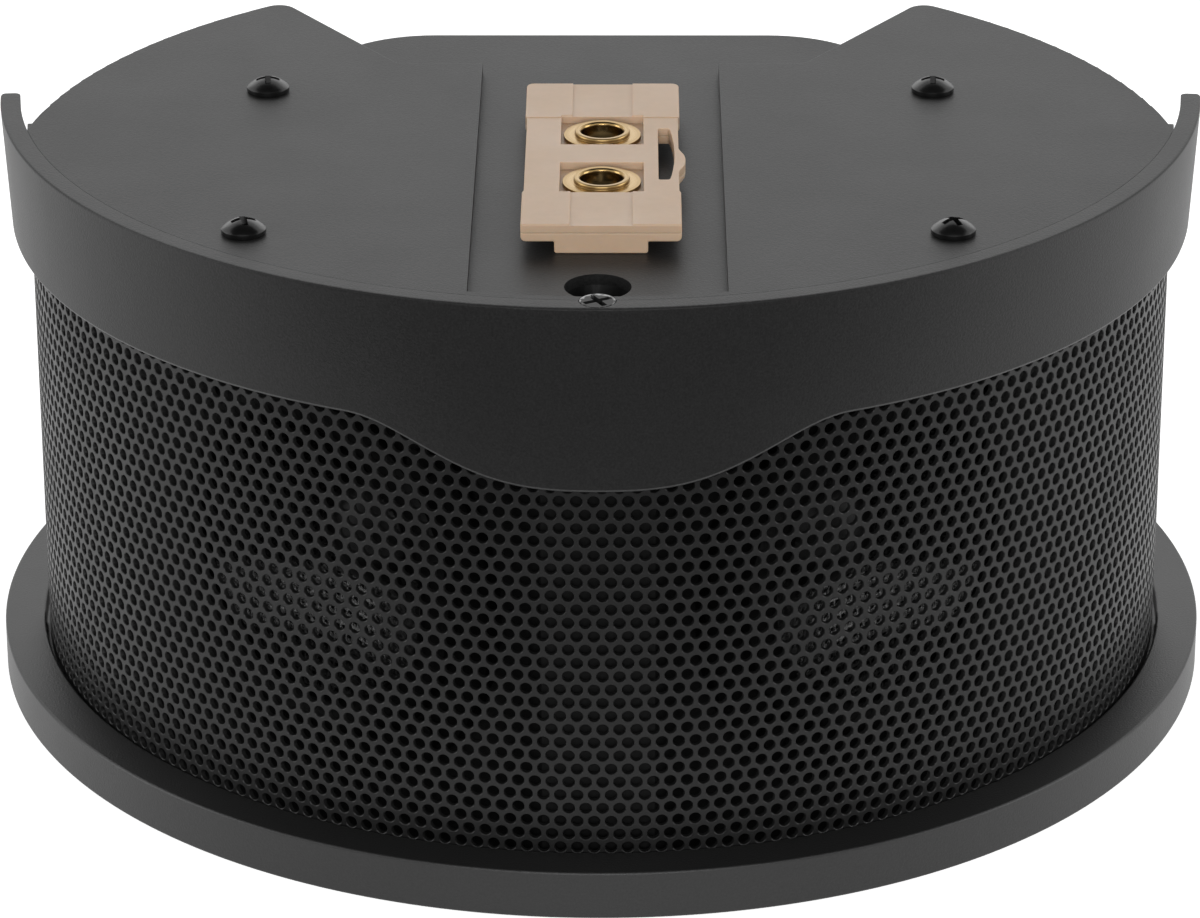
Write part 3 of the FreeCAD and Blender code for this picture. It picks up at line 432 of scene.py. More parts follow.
def powder_coat(name, tone, gloss):
    # Black polyester powder baked on aluminium: satin, with a fine even grain that breaks up its highlights.
    return mottled(name, tone, spread=0.5, grain=0.4, relief=0.055, rough=0.46, uneven=0.012,
                   IOR=1.5, Specular_IOR_Level=gloss)


def grille_coat():
    # The same powder on thin punched steel, laid on thinner, so smoother and a little glossier.
    return mottled("thin powder coat on punched steel", colours().grille, spread=0.10, grain=0.6,
                   relief=0.006, rough=0.42, uneven=0.04, IOR=1.5, Specular_IOR_Level=0.25)


def cabinet_plastic():
    # ABS moulded in a spark-eroded tool: dull, with a fine even texture.
    return mottled("textured black ABS", colours().cabinet, spread=0.10, grain=0.9, relief=0.02,
                   rough=0.58, uneven=0.05, IOR=1.53, Specular_IOR_Level=0.2)


def block_plastic():
    # Unfilled polyamide, moulded smooth: light scatters just under its skin and warms the shaded sides.
    return mottled("moulded beige polyamide", colours().block, spread=0.025, grain=2.5, relief=0.004,
                   rough=0.46, uneven=0.05, IOR=1.53, Subsurface_Weight=0.4,
                   Subsurface_Radius=(1.0, 0.55, 0.30), Subsurface_Scale=1.2 * MM)


def black_oxide():
    # Steel blackened in hot salts and oiled: near black with a wet gloss.
    return mottled("black oxide on steel", colours().oxide, spread=0.15, grain=1.2, relief=0.006,
                   rough=0.24, uneven=0.05, Specular_IOR_Level=0.5)


def zinc_plate():
    # Steel plated with bright zinc: grey metal, dulled in patches by handling.
    return mottled("bright zinc on steel", colours().zinc, spread=0.08, grain=0.8, relief=0.008,
                   rough=0.30, uneven=0.08, Metallic=1.0)


def plain_finish(name, code, grain, rough, metallic, gloss):
    # Dull working surfaces inside the cabinet, each with the grain of its own stuff.
    return mottled(name, linear(code), spread=0.18, grain=grain, relief=0.01, rough=rough, uneven=0.05,
                   Metallic=metallic, Specular_IOR_Level=gloss)


def turned_brass(name, x, y, groove=1.884 * MM, depth=0.01 * MM):
    # Brass bar turned on a lathe: bright, with the tool's rings round its own centre, drawn coarse to show.
    material, shader = new_material(name, Base_Color=[*colours().brass, 1.0], Metallic=1.0)
    place = add(material, "TexCoord").outputs["Object"]
    centred = add(material, "Mapping", {"Vector": place, "Location": (-x, -y, 0.0)})
    rings = add(material, "TexWave", {
        "Vector": centred.outputs["Vector"], "Scale": WAVE_PERIOD / groove, "Distortion": 0.6,
        "Detail": 1.0}, wave_type="RINGS", rings_direction="Z").outputs["Fac"]
    gloss = add(material, "MapRange", {"Value": rings, "To Min": 0.20, "To Max": 0.34})
    relief = add(material, "Bump", {"Height": rings, "Strength": 0.5, "Distance": depth})
    connect(material, shader, Roughness=gloss.outputs["Result"], Normal=relief.outputs["Normal"])
    return material


def worn_screw(x, y, rim=4.0 * MM, fade=0.3 * MM, scratch=0.9 * MM, ragged=2.4 * MM):
    # Steel screw coated along with the plate: driver and mate have rubbed its rim back to bare metal.
    material, shader = new_material("powder coat worn to steel", IOR=1.5, Specular_IOR_Level=0.15,
                                    Roughness=0.42)
    place = add(material, "TexCoord").outputs["Object"]
    centred = add(material, "Mapping", {
        "Vector": place, "Location": (-x, -y, 0.0), "Scale": (1, 1, 0)})
    reach = add(material, "VectorMath", {0: centred.outputs["Vector"]}, operation="LENGTH")
    scrape = add(material, "TexNoise", {
        "Vector": place, "Scale": 1 / scratch, "Detail": 4.0, "Roughness": 0.7})
    border = add(material, "Math", {
        0: scrape.outputs["Fac"], 1: ragged, 2: reach.outputs["Value"]}, operation="MULTIPLY_ADD")
    bare = add(material, "MapRange", {
        "Value": border.outputs["Value"], "From Min": rim, "From Max": rim + fade}).outputs["Result"]
    ramp = add(material, "ValToRGB", {"Fac": bare})
    for stop, tone in zip(ramp.color_ramp.elements, (colours().coat, linear("#8c8c8c"))):
        stop.color = [*tone, 1.0]
    connect(material, shader, Base_Color=ramp.outputs["Color"], Metallic=bare)
    return material


def glint_band_cloth(level, thread=1.1 * MM, relief=0.2 * MM, glint_half_width=3.5 * MM, glint_fade_width=6.0 * MM):
    # Open cloth dipped in black lacquer; its gloss is kept to one level band, a painted glint that shows as
    # a hard glint on each thread there.
    material, shader = new_material("lacquered open cloth", Base_Color=[*linear("#050505"), 1.0],
                                    Roughness=0.26)
    place = add(material, "TexCoord").outputs["Object"]
    height = add(material, "SeparateXYZ", {"Vector": place}).outputs["Z"]
    above = add(material, "Math", {0: height, 1: level}, operation="SUBTRACT").outputs["Value"]
    away = add(material, "Math", {0: above}, operation="ABSOLUTE").outputs["Value"]
    # Painted glint: full gloss inside the band, almost none outside it.
    shine = add(material, "MapRange", {
        "Value": away, "From Min": glint_half_width, "From Max": glint_fade_width, "To Min": 1.0, "To Max": 0.08})
    across, along = (add(material, "TexWave", {"Vector": place, "Scale": WAVE_PERIOD / thread},
                         bands_direction=axis).outputs["Fac"] for axis in ("X", "Z"))
    weave = add(material, "Math", {0: across, 1: along}, operation="MULTIPLY").outputs["Value"]
    bump = add(material, "Bump", {"Height": weave, "Strength": 1.0, "Distance": relief})
    connect(material, shader, Specular_IOR_Level=shine.outputs["Result"], Normal=bump.outputs["Normal"])
    return material


class SPEAKER_OT_base_disc(bpy.types.Operator):
    """Round base with a shallow pocket, rounded rims and counterbored screw seats"""

    bl_idname = "speaker.base_disc"
    bl_label = "Base Disc"

    sides = 256
    seat_radius = 4.2 * MM
    seat_depth = 2.7 * MM
    gloss = 0.48

    def execute(self, context):
        size = sizes()
        radius, top = high("base_disc").x, high("base_disc").z
        pocket = high("grille").x + size.pocket_gap
        disc = cylinder("BaseDisc", radius, 0.0, top, vertices=self.sides)
        select(disc, "FACE", facing_up)
        bpy.ops.mesh.inset(thickness=radius - pocket)
        extrude(-size.pocket_depth)
        close()
        ease(disc, size.disc_round, segments=4)
        for x, y in base_screw_places():
            carve(disc, cylinder("Seat", self.seat_radius, -MM, self.seat_depth, x, y, SMALL_ROUND))
        dress(disc, ["base_disc"],
              powder_coat("satin powder coat on the disc", colours().disc, self.gloss))
        return {"FINISHED"}


class SPEAKER_OT_grille(bpy.types.Operator):
    """Rolled sheet with its real staggered perforation, in two halves"""

    bl_idname = "speaker.grille"
    bl_label = "Grille"

    hole_sides = 14
    weld = 0.02 * MM
    reach_slack = 0.01 * MM
    row_slack = 0.02
    sharp = 60.0

    def execute(self, context):
        size = sizes()
        radius = -low("grille").y
        half_arc = radius * (math.pi / 2 - math.asin(-high("grille").y / radius))
        pitch, step = size.hole_pitch, size.hole_pitch * math.sqrt(3) / 2
        columns = int(2 * half_arc / pitch) - 2
        sheet = self.flat_sheet(half_arc, pitch, step, columns)
        modify(sheet, "SIMPLE_DEFORM", deform_method="BEND", deform_axis="Z", angle=2 * half_arc / radius)
        move(sheet, everything, y=-radius)
        if sheet.data.polygons[0].normal.dot(sheet.data.polygons[0].center) < 0:
            edit(sheet, "FACE", everything, bpy.ops.mesh.flip_normals)
        shift = pitch / 4 if columns % 2 else -pitch / 4
        edit(sheet, "FACE", lambda place, normal: radius * math.atan2(place.x, -place.y) < (
            -shift if round((place.z - size.first_row) / step) % 2 else shift),
             bpy.ops.mesh.separate, type="SELECTED")
        other = [piece for piece in context.selected_objects if piece != sheet][0]
        coat = grille_coat()
        for piece, name in ((sheet, "GrilleRight"), (other, "GrilleLeft")):
            piece.name = name
            modify(piece, "SOLIDIFY", thickness=size.grille_sheet, offset=-1.0, use_rim=True)
            ease(piece, size.hole_edge, segments=1, angle=self.sharp, finer=[(lambda start, end: min(
                start.xy.length, end.xy.length) < radius - size.grille_sheet / 2
                or self.between_rows(start, step) and self.between_rows(end, step), 0.0)])
            dress(piece, ["grille"], coat)
        return {"FINISHED"}

    def flat_sheet(self, half_arc, pitch, step, columns):
        """The punched sheet before it is rolled: pairs of staggered rows and plain margins."""
        size = sizes()
        foot, head = low("grille").z, high("grille").z
        pairs = int((head - size.first_row - step) / (2 * step))
        sheet = self.brick(pitch, step, size.hole_radius)
        edit(sheet, "VERT", everything, bpy.ops.mesh.duplicate_move,
             TRANSFORM_OT_translate={"value": (pitch / 2, 0, step)})
        merge(sheet, self.weld)
        move(sheet, everything, x=-(columns - 1) * pitch / 2 - pitch / 4, z=size.first_row)
        for count, offset in ((columns, (pitch, 0, 0)), (pairs, (0, 0, 2 * step))):
            modify(sheet, "ARRAY", count=count, use_relative_offset=False, use_constant_offset=True,
                   constant_offset_displace=offset, use_merge_vertices=True, merge_threshold=self.weld)
        self.margins(sheet, half_arc, foot, head, pitch)
        return sheet

    def between_rows(self, place, step):
        """Whether a corner lies midway between two rows, where no hole reaches."""
        return abs((place.z - sizes().first_row) / step % 1.0 - 0.5) < self.row_slack

    def brick(self, pitch, step, hole):
        """One hole in its share of the sheet, with corners where the staggered neighbours meet it."""
        rings = []
        for name, sides, radius in (("Grille", self.hole_sides, hole), ("Rim", 6, pitch)):
            clear_selection()
            bpy.ops.mesh.primitive_circle_add(vertices=sides, radius=radius, rotation=(math.pi / 2, 0, 0))
            rings.append(settle(name))
        for vertex, (x, z) in zip(sorted(rings[1].data.vertices, key=lambda v: math.atan2(v.co.z, v.co.x)),
                                  ((-1, -1), (0, -1), (1, -1), (1, 1), (0, 1), (-1, 1))):
            vertex.co = (x * pitch / 2, 0, z * step / 2)
        sheet = join(rings, "Grille")
        edit(sheet, "VERT", everything, bpy.ops.mesh.bridge_edge_loops)
        return sheet

    def margins(self, sheet, half_arc, foot, head, pitch):
        """Plain strips along the sheet's four edges: the set-back rows are filled out first."""
        for side in (-1, 1):
            reach = max(side * vertex.co.x for vertex in sheet.data.vertices)
            self.pull_ends(sheet, side, reach - pitch / 2, pitch / 2)
            self.pull_ends(sheet, side, reach, half_arc - reach)
        for level, limit in ((min, foot), (max, head)):
            rim = level(vertex.co.z for vertex in sheet.data.vertices)
            edit(sheet, "EDGE", level_edge(rim), extrude_edges, z=limit - rim)

    def pull_ends(self, sheet, side, reach, width):
        """Draws the upright edges at one reach outwards and joins them to their neighbours."""
        last = self.boundary(sheet)
        edit(sheet, "EDGE", lambda start, end: abs(side * start.x - reach) < self.reach_slack
             and abs(side * end.x - reach) < self.reach_slack and (start + end).freeze() in last,
             extrude_edges, x=side * width)
        merge(sheet, self.weld)

    def boundary(self, sheet):
        """Twice the middles of the edges that only one face uses."""
        mesh = sheet.data
        uses = {}
        for face in mesh.polygons:
            for key in face.edge_keys:
                uses[key] = uses.get(key, 0) + 1
        return {(mesh.vertices[key[0]].co + mesh.vertices[key[1]].co).freeze()
                for key, count in uses.items() if count == 1}


class SPEAKER_OT_front_band(bpy.types.Operator):
    """Curved band with a bell-shaped apron and rounded edges"""

    bl_idname = "speaker.front_band"
    bl_label = "Front Band"

    steps = 240
    seam = 0.03 * MM
    seam_share = 0.08
    overcut = 1.0 * MM
    end_slack = 1e-3
    column_slack = 1e-4
    gloss = 0.28
    # The rounded lower edge: its finish, how far it faces down at least, and how far it faces outwards.
    edge_gloss = 0.65
    edge_down = 0.12
    edge_out = (0.2, 0.985)
    # The countersunk seat: radii at its foot and mouth, its height, and the depth of its middle.
    seat_foot, seat_mouth, seat_height, seat_sunk = 1.4 * MM, 3.4 * MM, 2.0 * MM, 0.9 * MM

    def execute(self, context):
        size = sizes()
        top, outer = high("front_band").z, -low("front_band").y
        inner, bottom = self.seam - low("top_plate").y, top - size.band_height
        end_angle = math.asin(-high("front_band").y / outer)
        band = self.turned(inner, outer, bottom, top, end_angle)
        self.hang_apron(band, bottom)
        ease(band, size.band_round, clamp=False, finer=[
            (lambda a, b: level_edge(top)(a, b) and max(a.xy.length, b.xy.length) < inner + MM,
             self.seam_share),
            (lambda a, b: max(math.atan2(-place.y, abs(place.x)) for place in (a, b))
             < end_angle + self.end_slack, 0.0)])
        self.round_ends(band, inner, outer, end_angle)
        clear_selection()
        bpy.ops.mesh.primitive_cone_add(
            vertices=SMALL_ROUND, radius1=self.seat_foot, radius2=self.seat_mouth, depth=self.seat_height,
            location=(0, centre("seam_screw")[1], top - self.seat_sunk))
        carve(band, settle("SeamSeat"))
        # The band takes the darker copy of the coat: painted shade on its front.
        dress(band, ["front_band"],
              powder_coat("satin powder coat on the band", colours().band, self.gloss))
        self.thin_edge(band)
        return {"FINISHED"}

    def turned(self, inner, outer, bottom, top, end_angle):
        """The band's section, set back at its lower edge and turned round the front half."""
        size = sizes()
        clear_selection()
        bpy.ops.mesh.primitive_plane_add(size=1, rotation=(math.pi / 2, 0, 0),
                                         location=((inner + outer) / 2, 0, (top + bottom) / 2))
        band = settle("FrontBand", (outer - inner, size.band_height, 1))
        move(band, lambda place: place.x > outer - MM and place.z < bottom + MM, x=-size.band_taper)
        edit(band, "VERT", everything, bpy.ops.mesh.spin, steps=self.steps,
             angle=math.pi - 2 * end_angle, center=(0, 0, 0), axis=(0, 0, 1))
        turned_back = sum(vertex.co.y for vertex in band.data.vertices) > 0
        band.rotation_euler.z = math.pi + end_angle if turned_back else -end_angle
        apply_place()
        merge(band)
        turn_outwards(band)
        return band

    def hang_apron(self, band, bottom):
        """Lowers the band's lower edge column by column, flat in the middle and easing out at both sides."""
        size = sizes()
        angles = {round(math.atan2(vertex.co.x, -vertex.co.y), 4) for vertex in band.data.vertices}
        for angle in angles:
            if abs(angle) > size.bell_half_angle:
                continue
            share = (abs(angle) / size.bell_half_angle) ** size.bell_power
            drop = size.bell_drop * (1 + math.cos(math.pi * share)) / 2
            move(band, lambda place: abs(place.z - bottom) < CLOSE
                 and abs(math.atan2(place.x, -place.y) - angle) < self.column_slack, z=-drop)

    def round_ends(self, band, inner, outer, end_angle):
        """Cuts the upright corners at the ends of both arms round."""
        radius, (start, end) = sizes().arm_round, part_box("front_band")
        for side in (-1, 1):
            for rim, inward in ((inner, 1), (outer, -1)):
                near, far = sorted((side * (rim - inward * self.overcut), side * (rim + inward * radius)))
                corner = block("ArmCorner", (near, -radius, start.z),
                               (far, self.overcut, end.z + self.overcut))
                carve(corner, cylinder("ArmRound", radius, start.z - self.overcut, end.z + 2 * self.overcut,
                                       side * (rim + inward * radius), -radius, SMALL_ROUND))
                focus(corner)
                corner.rotation_euler.z = -side * end_angle
                apply_place()
                carve(band, corner)

    def thin_edge(self, band):
        """Gives the rounded lower edge its own finish: the coat draws back and lets the metal shine."""
        # The edge's coat uses the same darker band colour: painted shade.
        band.data.materials.append(
            powder_coat("powder coat drawn thin on an edge", colours().band, self.edge_gloss))
        band.active_material_index = 1
        least, most = self.edge_out
        edit(band, "FACE", lambda place, normal: normal.z < -self.edge_down
             and least < normal.dot(Vector((place.x, place.y, 0.0)).normalized()) < most,
             bpy.ops.object.material_slot_assign)


class SPEAKER_OT_top_plate(bpy.types.Operator):
    """Milled top plate with its rail channel and rear tongue"""

    bl_idname = "speaker.top_plate"
    bl_label = "Top Plate"

    rim_margin = 0.1 * MM
    rim_share = 0.2
    plane = 0.1
    sharp = 50.0
    gloss = 0.24

    def execute(self, context):
        plate = merged_copy("top_plate", "TopPlate")
        edit(plate, "EDGE", everything, bpy.ops.mesh.dissolve_limited, angle_limit=math.radians(self.plane))
        rim = -low("top_plate").y - self.rim_margin
        ease(plate, sizes().plate_round, segments=2, angle=self.sharp,
             finer=[(lambda start, end: min(start.xy.length, end.xy.length) > rim, self.rim_share)])
        dress(plate, ["top_plate"],
              powder_coat("satin powder coat on the plate", colours().coat, self.gloss))
        return {"FINISHED"}


class SPEAKER_OT_contact_block(bpy.types.Operator):
    """Contact block in two mouldings, with corner pads, ring windows, latch slot and bump"""

    bl_idname = "speaker.contact_block"
    bl_label = "Contact Block"

    overcut = 1.0 * MM
    seat_gap = 0.2 * MM
    waist_ease = 0.5 * MM
    parting_share = 0.6
    weld = 0.03 * MM
    plane = 0.5
    bump_steps = 8
    bump_power = 1.4
    slot_steps = 12

    def execute(self, context):
        plastic = block_plastic()
        dress(self.cover(), ["contact_cover"], plastic)
        dress(self.base(), ["contact_base"], plastic)
        return {"FINISHED"}

    def cover(self):
        """Upper moulding: windows over the rings, four pads and the slot."""
        size = sizes()
        start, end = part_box("contact_cover")
        cover = self.slab("ContactCover", start.z, end.z)
        round_edges(cover, lambda a, b: upright_edge(a, b) and a.y > end.y - MM, size.block_corner)
        self.shape_sides(cover)
        for node in ("rear_socket", "front_socket"):
            x, y = centre(node)
            window = block("Window", (x - size.window_x / 2, y - size.window_y / 2, start.z - self.overcut),
                           (x + size.window_x / 2, y + size.window_y / 2, end.z + self.overcut))
            round_edges(window, upright_edge, size.block_round)
            carve(cover, window)
        carve(cover, self.slot(start.z, end.z))
        self.ease_edges(cover, start.z)
        middle, reach = centre("rear_socket")[0], end.x - start.x
        for half, front, back, step in (
                (reach, size.waist_front, size.waist_back, size.pad_step),
                (size.pad_inner, size.waist_back - self.overcut, end.y + self.overcut, size.pad_gap),
                (size.pad_inner, start.y - self.overcut, size.waist_front + self.overcut, size.pad_gap)):
            carve(cover, block("PadStep", (middle - half, front, end.z - step),
                               (middle + half, back, end.z + self.overcut)))
        return cover

    def base(self):
        """Lower moulding: the same outline with rounded long edges, on a narrower foot."""
        size = sizes()
        start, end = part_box("contact_base")
        middle, belly = centre("rear_socket")[0], low("contact_cover").z - size.block_lower
        base = self.slab("ContactBase", belly, end.z)
        round_edges(base, lambda a, b: long_edge(a, b) and level_edge(belly)(a, b), size.block_belly)
        for x in (middle - size.foot_half, middle + size.foot_half):
            self.slice(base, (x, 0, 0), (1, 0, 0))
        edit(base, "FACE", lambda place, normal: facing_down(place, normal)
             and abs(place.x - middle) < size.foot_half, extrude, rise=start.z - belly)
        round_edges(base, lambda a, b: long_edge(a, b) and level_edge(start.z)(a, b), size.foot_round)
        self.shape_sides(base)
        seat = size.ring_bore + size.cup_wall + self.seat_gap
        carve(base, self.slot(start.z, end.z))
        for node in ("rear_socket", "front_socket"):
            carve(base, cylinder("Seat", seat, start.z - self.overcut, end.z + self.overcut, *centre(node)))
        self.ease_edges(base, end.z)
        return base

    def ease_edges(self, piece, parting):
        """Rounds the edges, less at the parting, once the stray corners that cutting leaves are joined."""
        select(piece, "VERT", everything)
        bpy.ops.mesh.remove_doubles(threshold=self.weld)
        bpy.ops.mesh.dissolve_limited(angle_limit=math.radians(self.plane))
        close()
        ease(piece, sizes().block_round, finer=[(level_edge(parting), self.parting_share)], clamp=False)

    def slab(self, name, bottom, top):
        start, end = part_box("contact_cover")
        return block(name, (start.x, start.y, bottom), (end.x - sizes().bump_out, end.y, top))

    def slice(self, piece, place, normal):
        """Adds a ring of edges where a plane meets the piece."""
        edit(piece, "VERT", everything, bpy.ops.mesh.bisect, plane_co=place, plane_no=normal)

    def shape_sides(self, piece):
        """Draws both sides in between the pads, and the right one out again round the bump."""
        size = sizes()
        middle = centre("rear_socket")[0]
        stops = {size.waist_front - self.waist_ease: 0.0, size.waist_back + self.waist_ease: 0.0,
                 size.waist_front + self.waist_ease: -size.waist_inset,
                 size.waist_back - self.waist_ease: -size.waist_inset}
        for step in range(-self.bump_steps, self.bump_steps + 1):
            share = step / self.bump_steps
            bell = (1 + math.cos(math.pi * abs(share) ** self.bump_power)) / 2
            stops[size.bump_middle + share * size.bump_half] = (
                bell * (size.waist_inset + size.bump_out) - size.waist_inset)
        for y in stops:
            self.slice(piece, (0, y, 0), (0, 1, 0))
        for y, out in stops.items():
            inset = -size.waist_inset if size.waist_front < y < size.waist_back else 0.0
            for side, shift in ((1, out), (-1, inset)):
                move(piece, lambda place: abs(place.y - y) < CLOSE
                     and side * (place.x - middle) > size.foot_half + MM, x=side * shift)

    def slot(self, bottom, top):
        """A cutter with one straight side, one bowed side and rounded ends."""
        size = sizes()
        left = high("contact_cover").x - size.bump_out - size.slot_side
        front, back = size.slot_front, size.slot_front + size.slot_length
        tool = block("Slot", (left, front, bottom - self.overcut),
                     (left + size.slot_width, back, top + self.overcut))
        round_edges(tool, upright_edge, size.slot_width / 4)
        shares = [step / self.slot_steps for step in range(1, self.slot_steps)]
        stops = {front + share * size.slot_length: size.slot_belly * (1 - (2 * share - 1) ** 2)
                 for share in shares}
        for y in stops:
            self.slice(tool, (0, y, 0), (0, 1, 0))
        for y, out in stops.items():
            move(tool, lambda place: abs(place.y - y) < CLOSE
                 and place.x > left + size.slot_width / 2, x=out)
        return tool


class SPEAKER_OT_contact_rings(bpy.types.Operator):
    """Turned brass contact cups with rolled lips"""

    bl_idname = "speaker.contact_rings"
    bl_label = "Contact Rings"

    edge = 0.2 * MM
    sunk = 0.05 * MM
    sharp = 50.0

    def execute(self, context):
        size = sizes()
        for node, name in (("rear_socket", "RearSocket"), ("front_socket", "FrontSocket")):
            start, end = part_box(node)
            x, y = centre(node)
            outer, cover = (end.x - start.x) / 2, low("contact_cover").z
            crest = high("contact_cover").z - self.sunk
            ring = cylinder(name, outer, cover, crest - size.lip_rise, x, y)
            select(ring, "FACE", facing_down)
            bpy.ops.mesh.inset(thickness=outer - size.ring_bore - size.cup_wall)
            extrude(start.z - cover)
            close()
            select(ring, "FACE", facing_up)
            bpy.ops.mesh.inset(thickness=outer - size.ring_bore - size.lip_width)
            extrude(size.lip_rise)
            bpy.ops.mesh.inset(thickness=size.lip_width)
            extrude(start.z + size.cup_wall - crest)
            close()
            axis = Vector((x, y))
            for inside, radius in ((True, size.lip_flare), (False, size.lip_round)):
                round_edges(ring, lambda a, b: level_edge(crest)(a, b)
                            and abs((a.xy - axis).length - (b.xy - axis).length) < CLOSE
                            and ((a.xy - axis).length < size.ring_bore + self.edge) == inside,
                            radius, segments=6)
            ease(ring, self.edge, segments=2, angle=self.sharp)
            dress(ring, [node], turned_brass(f"turned brass {name}", x, y), angle=40.0)
        return {"FINISHED"}


class SPEAKER_OT_screws(bpy.types.Operator):
    """Plate screws, seam screw, contact screws and base screws, each with a cross recess"""

    bl_idname = "speaker.screws"
    bl_label = "Screws"

    # A dome's rings, each by its share of the head's radius and of the dome's height.
    dome_rings = ((0.95, 0.12), (0.85, 0.30), (0.72, 0.50), (0.56, 0.71), (0.38, 0.88), (0.18, 1.0))
    recess_depth, recess_reach, recess_taper = 1.6 * MM, 0.95, (0.35, 0.8, 1.0)
    rim_share, rim_sharp, smooth = 0.04, 60.0, 35.0
    shank = 2.0 * MM
    turns = (0.25, 0.52, 0.05, -0.03)
    plate_head, plate_length, rear_row = 3.95 * MM, 12 * MM, -40 * MM
    contact_head, contact_side, contact_turns = 3.6 * MM, 0.7 * MM, (0.7, 0.2)
    base_head, base_side, base_height = 3.9 * MM, 1.0 * MM, 2.6 * MM
    # The seam screw: its upright rim, its cone's height and narrow end, and its recess.
    seam_rim, seam_cone, seam_neck, seam_edge, seam_sharp = 0.25 * MM, 1.35 * MM, 0.48, 0.15 * MM, 50.0
    seam_depth, seam_reach, seam_turn = 1.4 * MM, 3.8 * MM, 0.5
    wear_shift = 0.4 * MM

    def execute(self, context):
        zinc = zinc_plate()
        self.plate_screws()
        self.seam_screw()
        self.contact_screws(zinc)
        self.base_screws(zinc)
        return {"FINISHED"}

    def cross_recess(self, piece, x, y, top, depth, reach, turn):
        """Cuts a tapered cross into a screw's head."""
        width = sizes().recess_width
        for quarter in (0.0, math.pi / 2):
            arm = block("Recess", (-reach, -width / 2, -depth), (reach, width / 2, depth))
            edit(arm, "VERT", lambda place: place.z < 0, bpy.ops.transform.resize,
                 value=self.recess_taper, center_override=(0, 0, 0))
            arm.rotation_euler.z = turn + quarter
            arm.location = (x, y, top)
            focus(arm)
            apply_place()
            carve(piece, arm)

    def pan_screw(self, x, y, seat, radius, side, dome, shank_length, turn):
        """One pan-head screw: upright side, shallow dome, cross recess and shank."""
        screw = cylinder("Screw", radius, seat, seat + side, x, y, SMALL_ROUND)
        select(screw, "FACE", facing_down)
        bpy.ops.mesh.inset(thickness=radius - self.shank)
        extrude(-shank_length)
        close()
        select(screw, "FACE", facing_up)
        share, height = 1.0, 0.0
        for ring, part in self.dome_rings:
            extrude(part * dome - height)
            bpy.ops.transform.resize(value=(ring / share, ring / share, 1), center_override=(x, y, 0))
            share, height = ring, part * dome
        close()
        ease(screw, self.rim_share * radius, segments=2, angle=self.rim_sharp)
        self.cross_recess(screw, x, y, seat + side + dome, self.recess_depth,
                          self.recess_reach * radius, turn)
        return screw

    def plate_screws(self):
        seat, top, side = high("top_plate").z, high("top_plate_screws").z, sizes().head_side
        places = sorted(solid_centres("top_plate_screws", 4),
                        key=lambda place: (place[1] > self.rear_row, place[0]))
        screws = [self.pan_screw(x, y, seat, self.plate_head, side, top - seat - side, self.plate_length,
                                 turn) for (x, y), turn in zip(places, self.turns)]
        dress(join(screws, "TopPlateScrews"), ["top_plate_screws"], black_oxide(),
              self.smooth)

    def seam_screw(self):
        start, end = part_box("seam_screw")
        y = centre("seam_screw")[1]
        screw = cylinder("SeamScrew", end.x, end.z - self.seam_rim, end.z, 0.0, y, SMALL_ROUND)
        select(screw, "FACE", facing_down)
        extrude(-self.seam_cone)
        bpy.ops.transform.resize(value=(self.seam_neck, self.seam_neck, 1.0), center_override=(0, y, 0))
        extrude(start.z - end.z + self.seam_rim + self.seam_cone)
        close()
        ease(screw, self.seam_edge, segments=2, angle=self.seam_sharp)
        self.cross_recess(screw, 0.0, y, end.z, self.seam_depth, self.seam_reach, self.seam_turn)
        dress(screw, ["seam_screw"], worn_screw(0.0, y - self.wear_shift), self.smooth)

    def contact_screws(self, zinc):
        start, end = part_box("socket_screws")
        seat, side = low("rear_socket").z + sizes().cup_wall, self.contact_side
        screws = [self.pan_screw(x, y, seat, self.contact_head, side, end.z - seat - side,
                                 seat - start.z, turn)
                  for (x, y), turn in zip(solid_centres("socket_screws", 2), self.contact_turns)]
        dress(join(screws, "SocketScrews"), ["socket_screws"], zinc, self.smooth)

    def base_screws(self, zinc):
        """Modelled head up, then turned over about the middle of the head."""
        head, side = self.base_height, self.base_side
        screws = []
        for (x, y), turn in zip(base_screw_places(), self.turns):
            screw = self.pan_screw(x, y, 0.0, self.base_head, side, head - side,
                                   high("base_screws").z - head, turn)
            edit(screw, "VERT", everything, bpy.ops.transform.resize, value=(1, 1, -1),
                 center_override=(x, y, head / 2))
            turn_outwards(screw)
            screws.append(screw)
        dress(join(screws, "BaseScrews"), ["base_screws"], zinc, self.smooth)


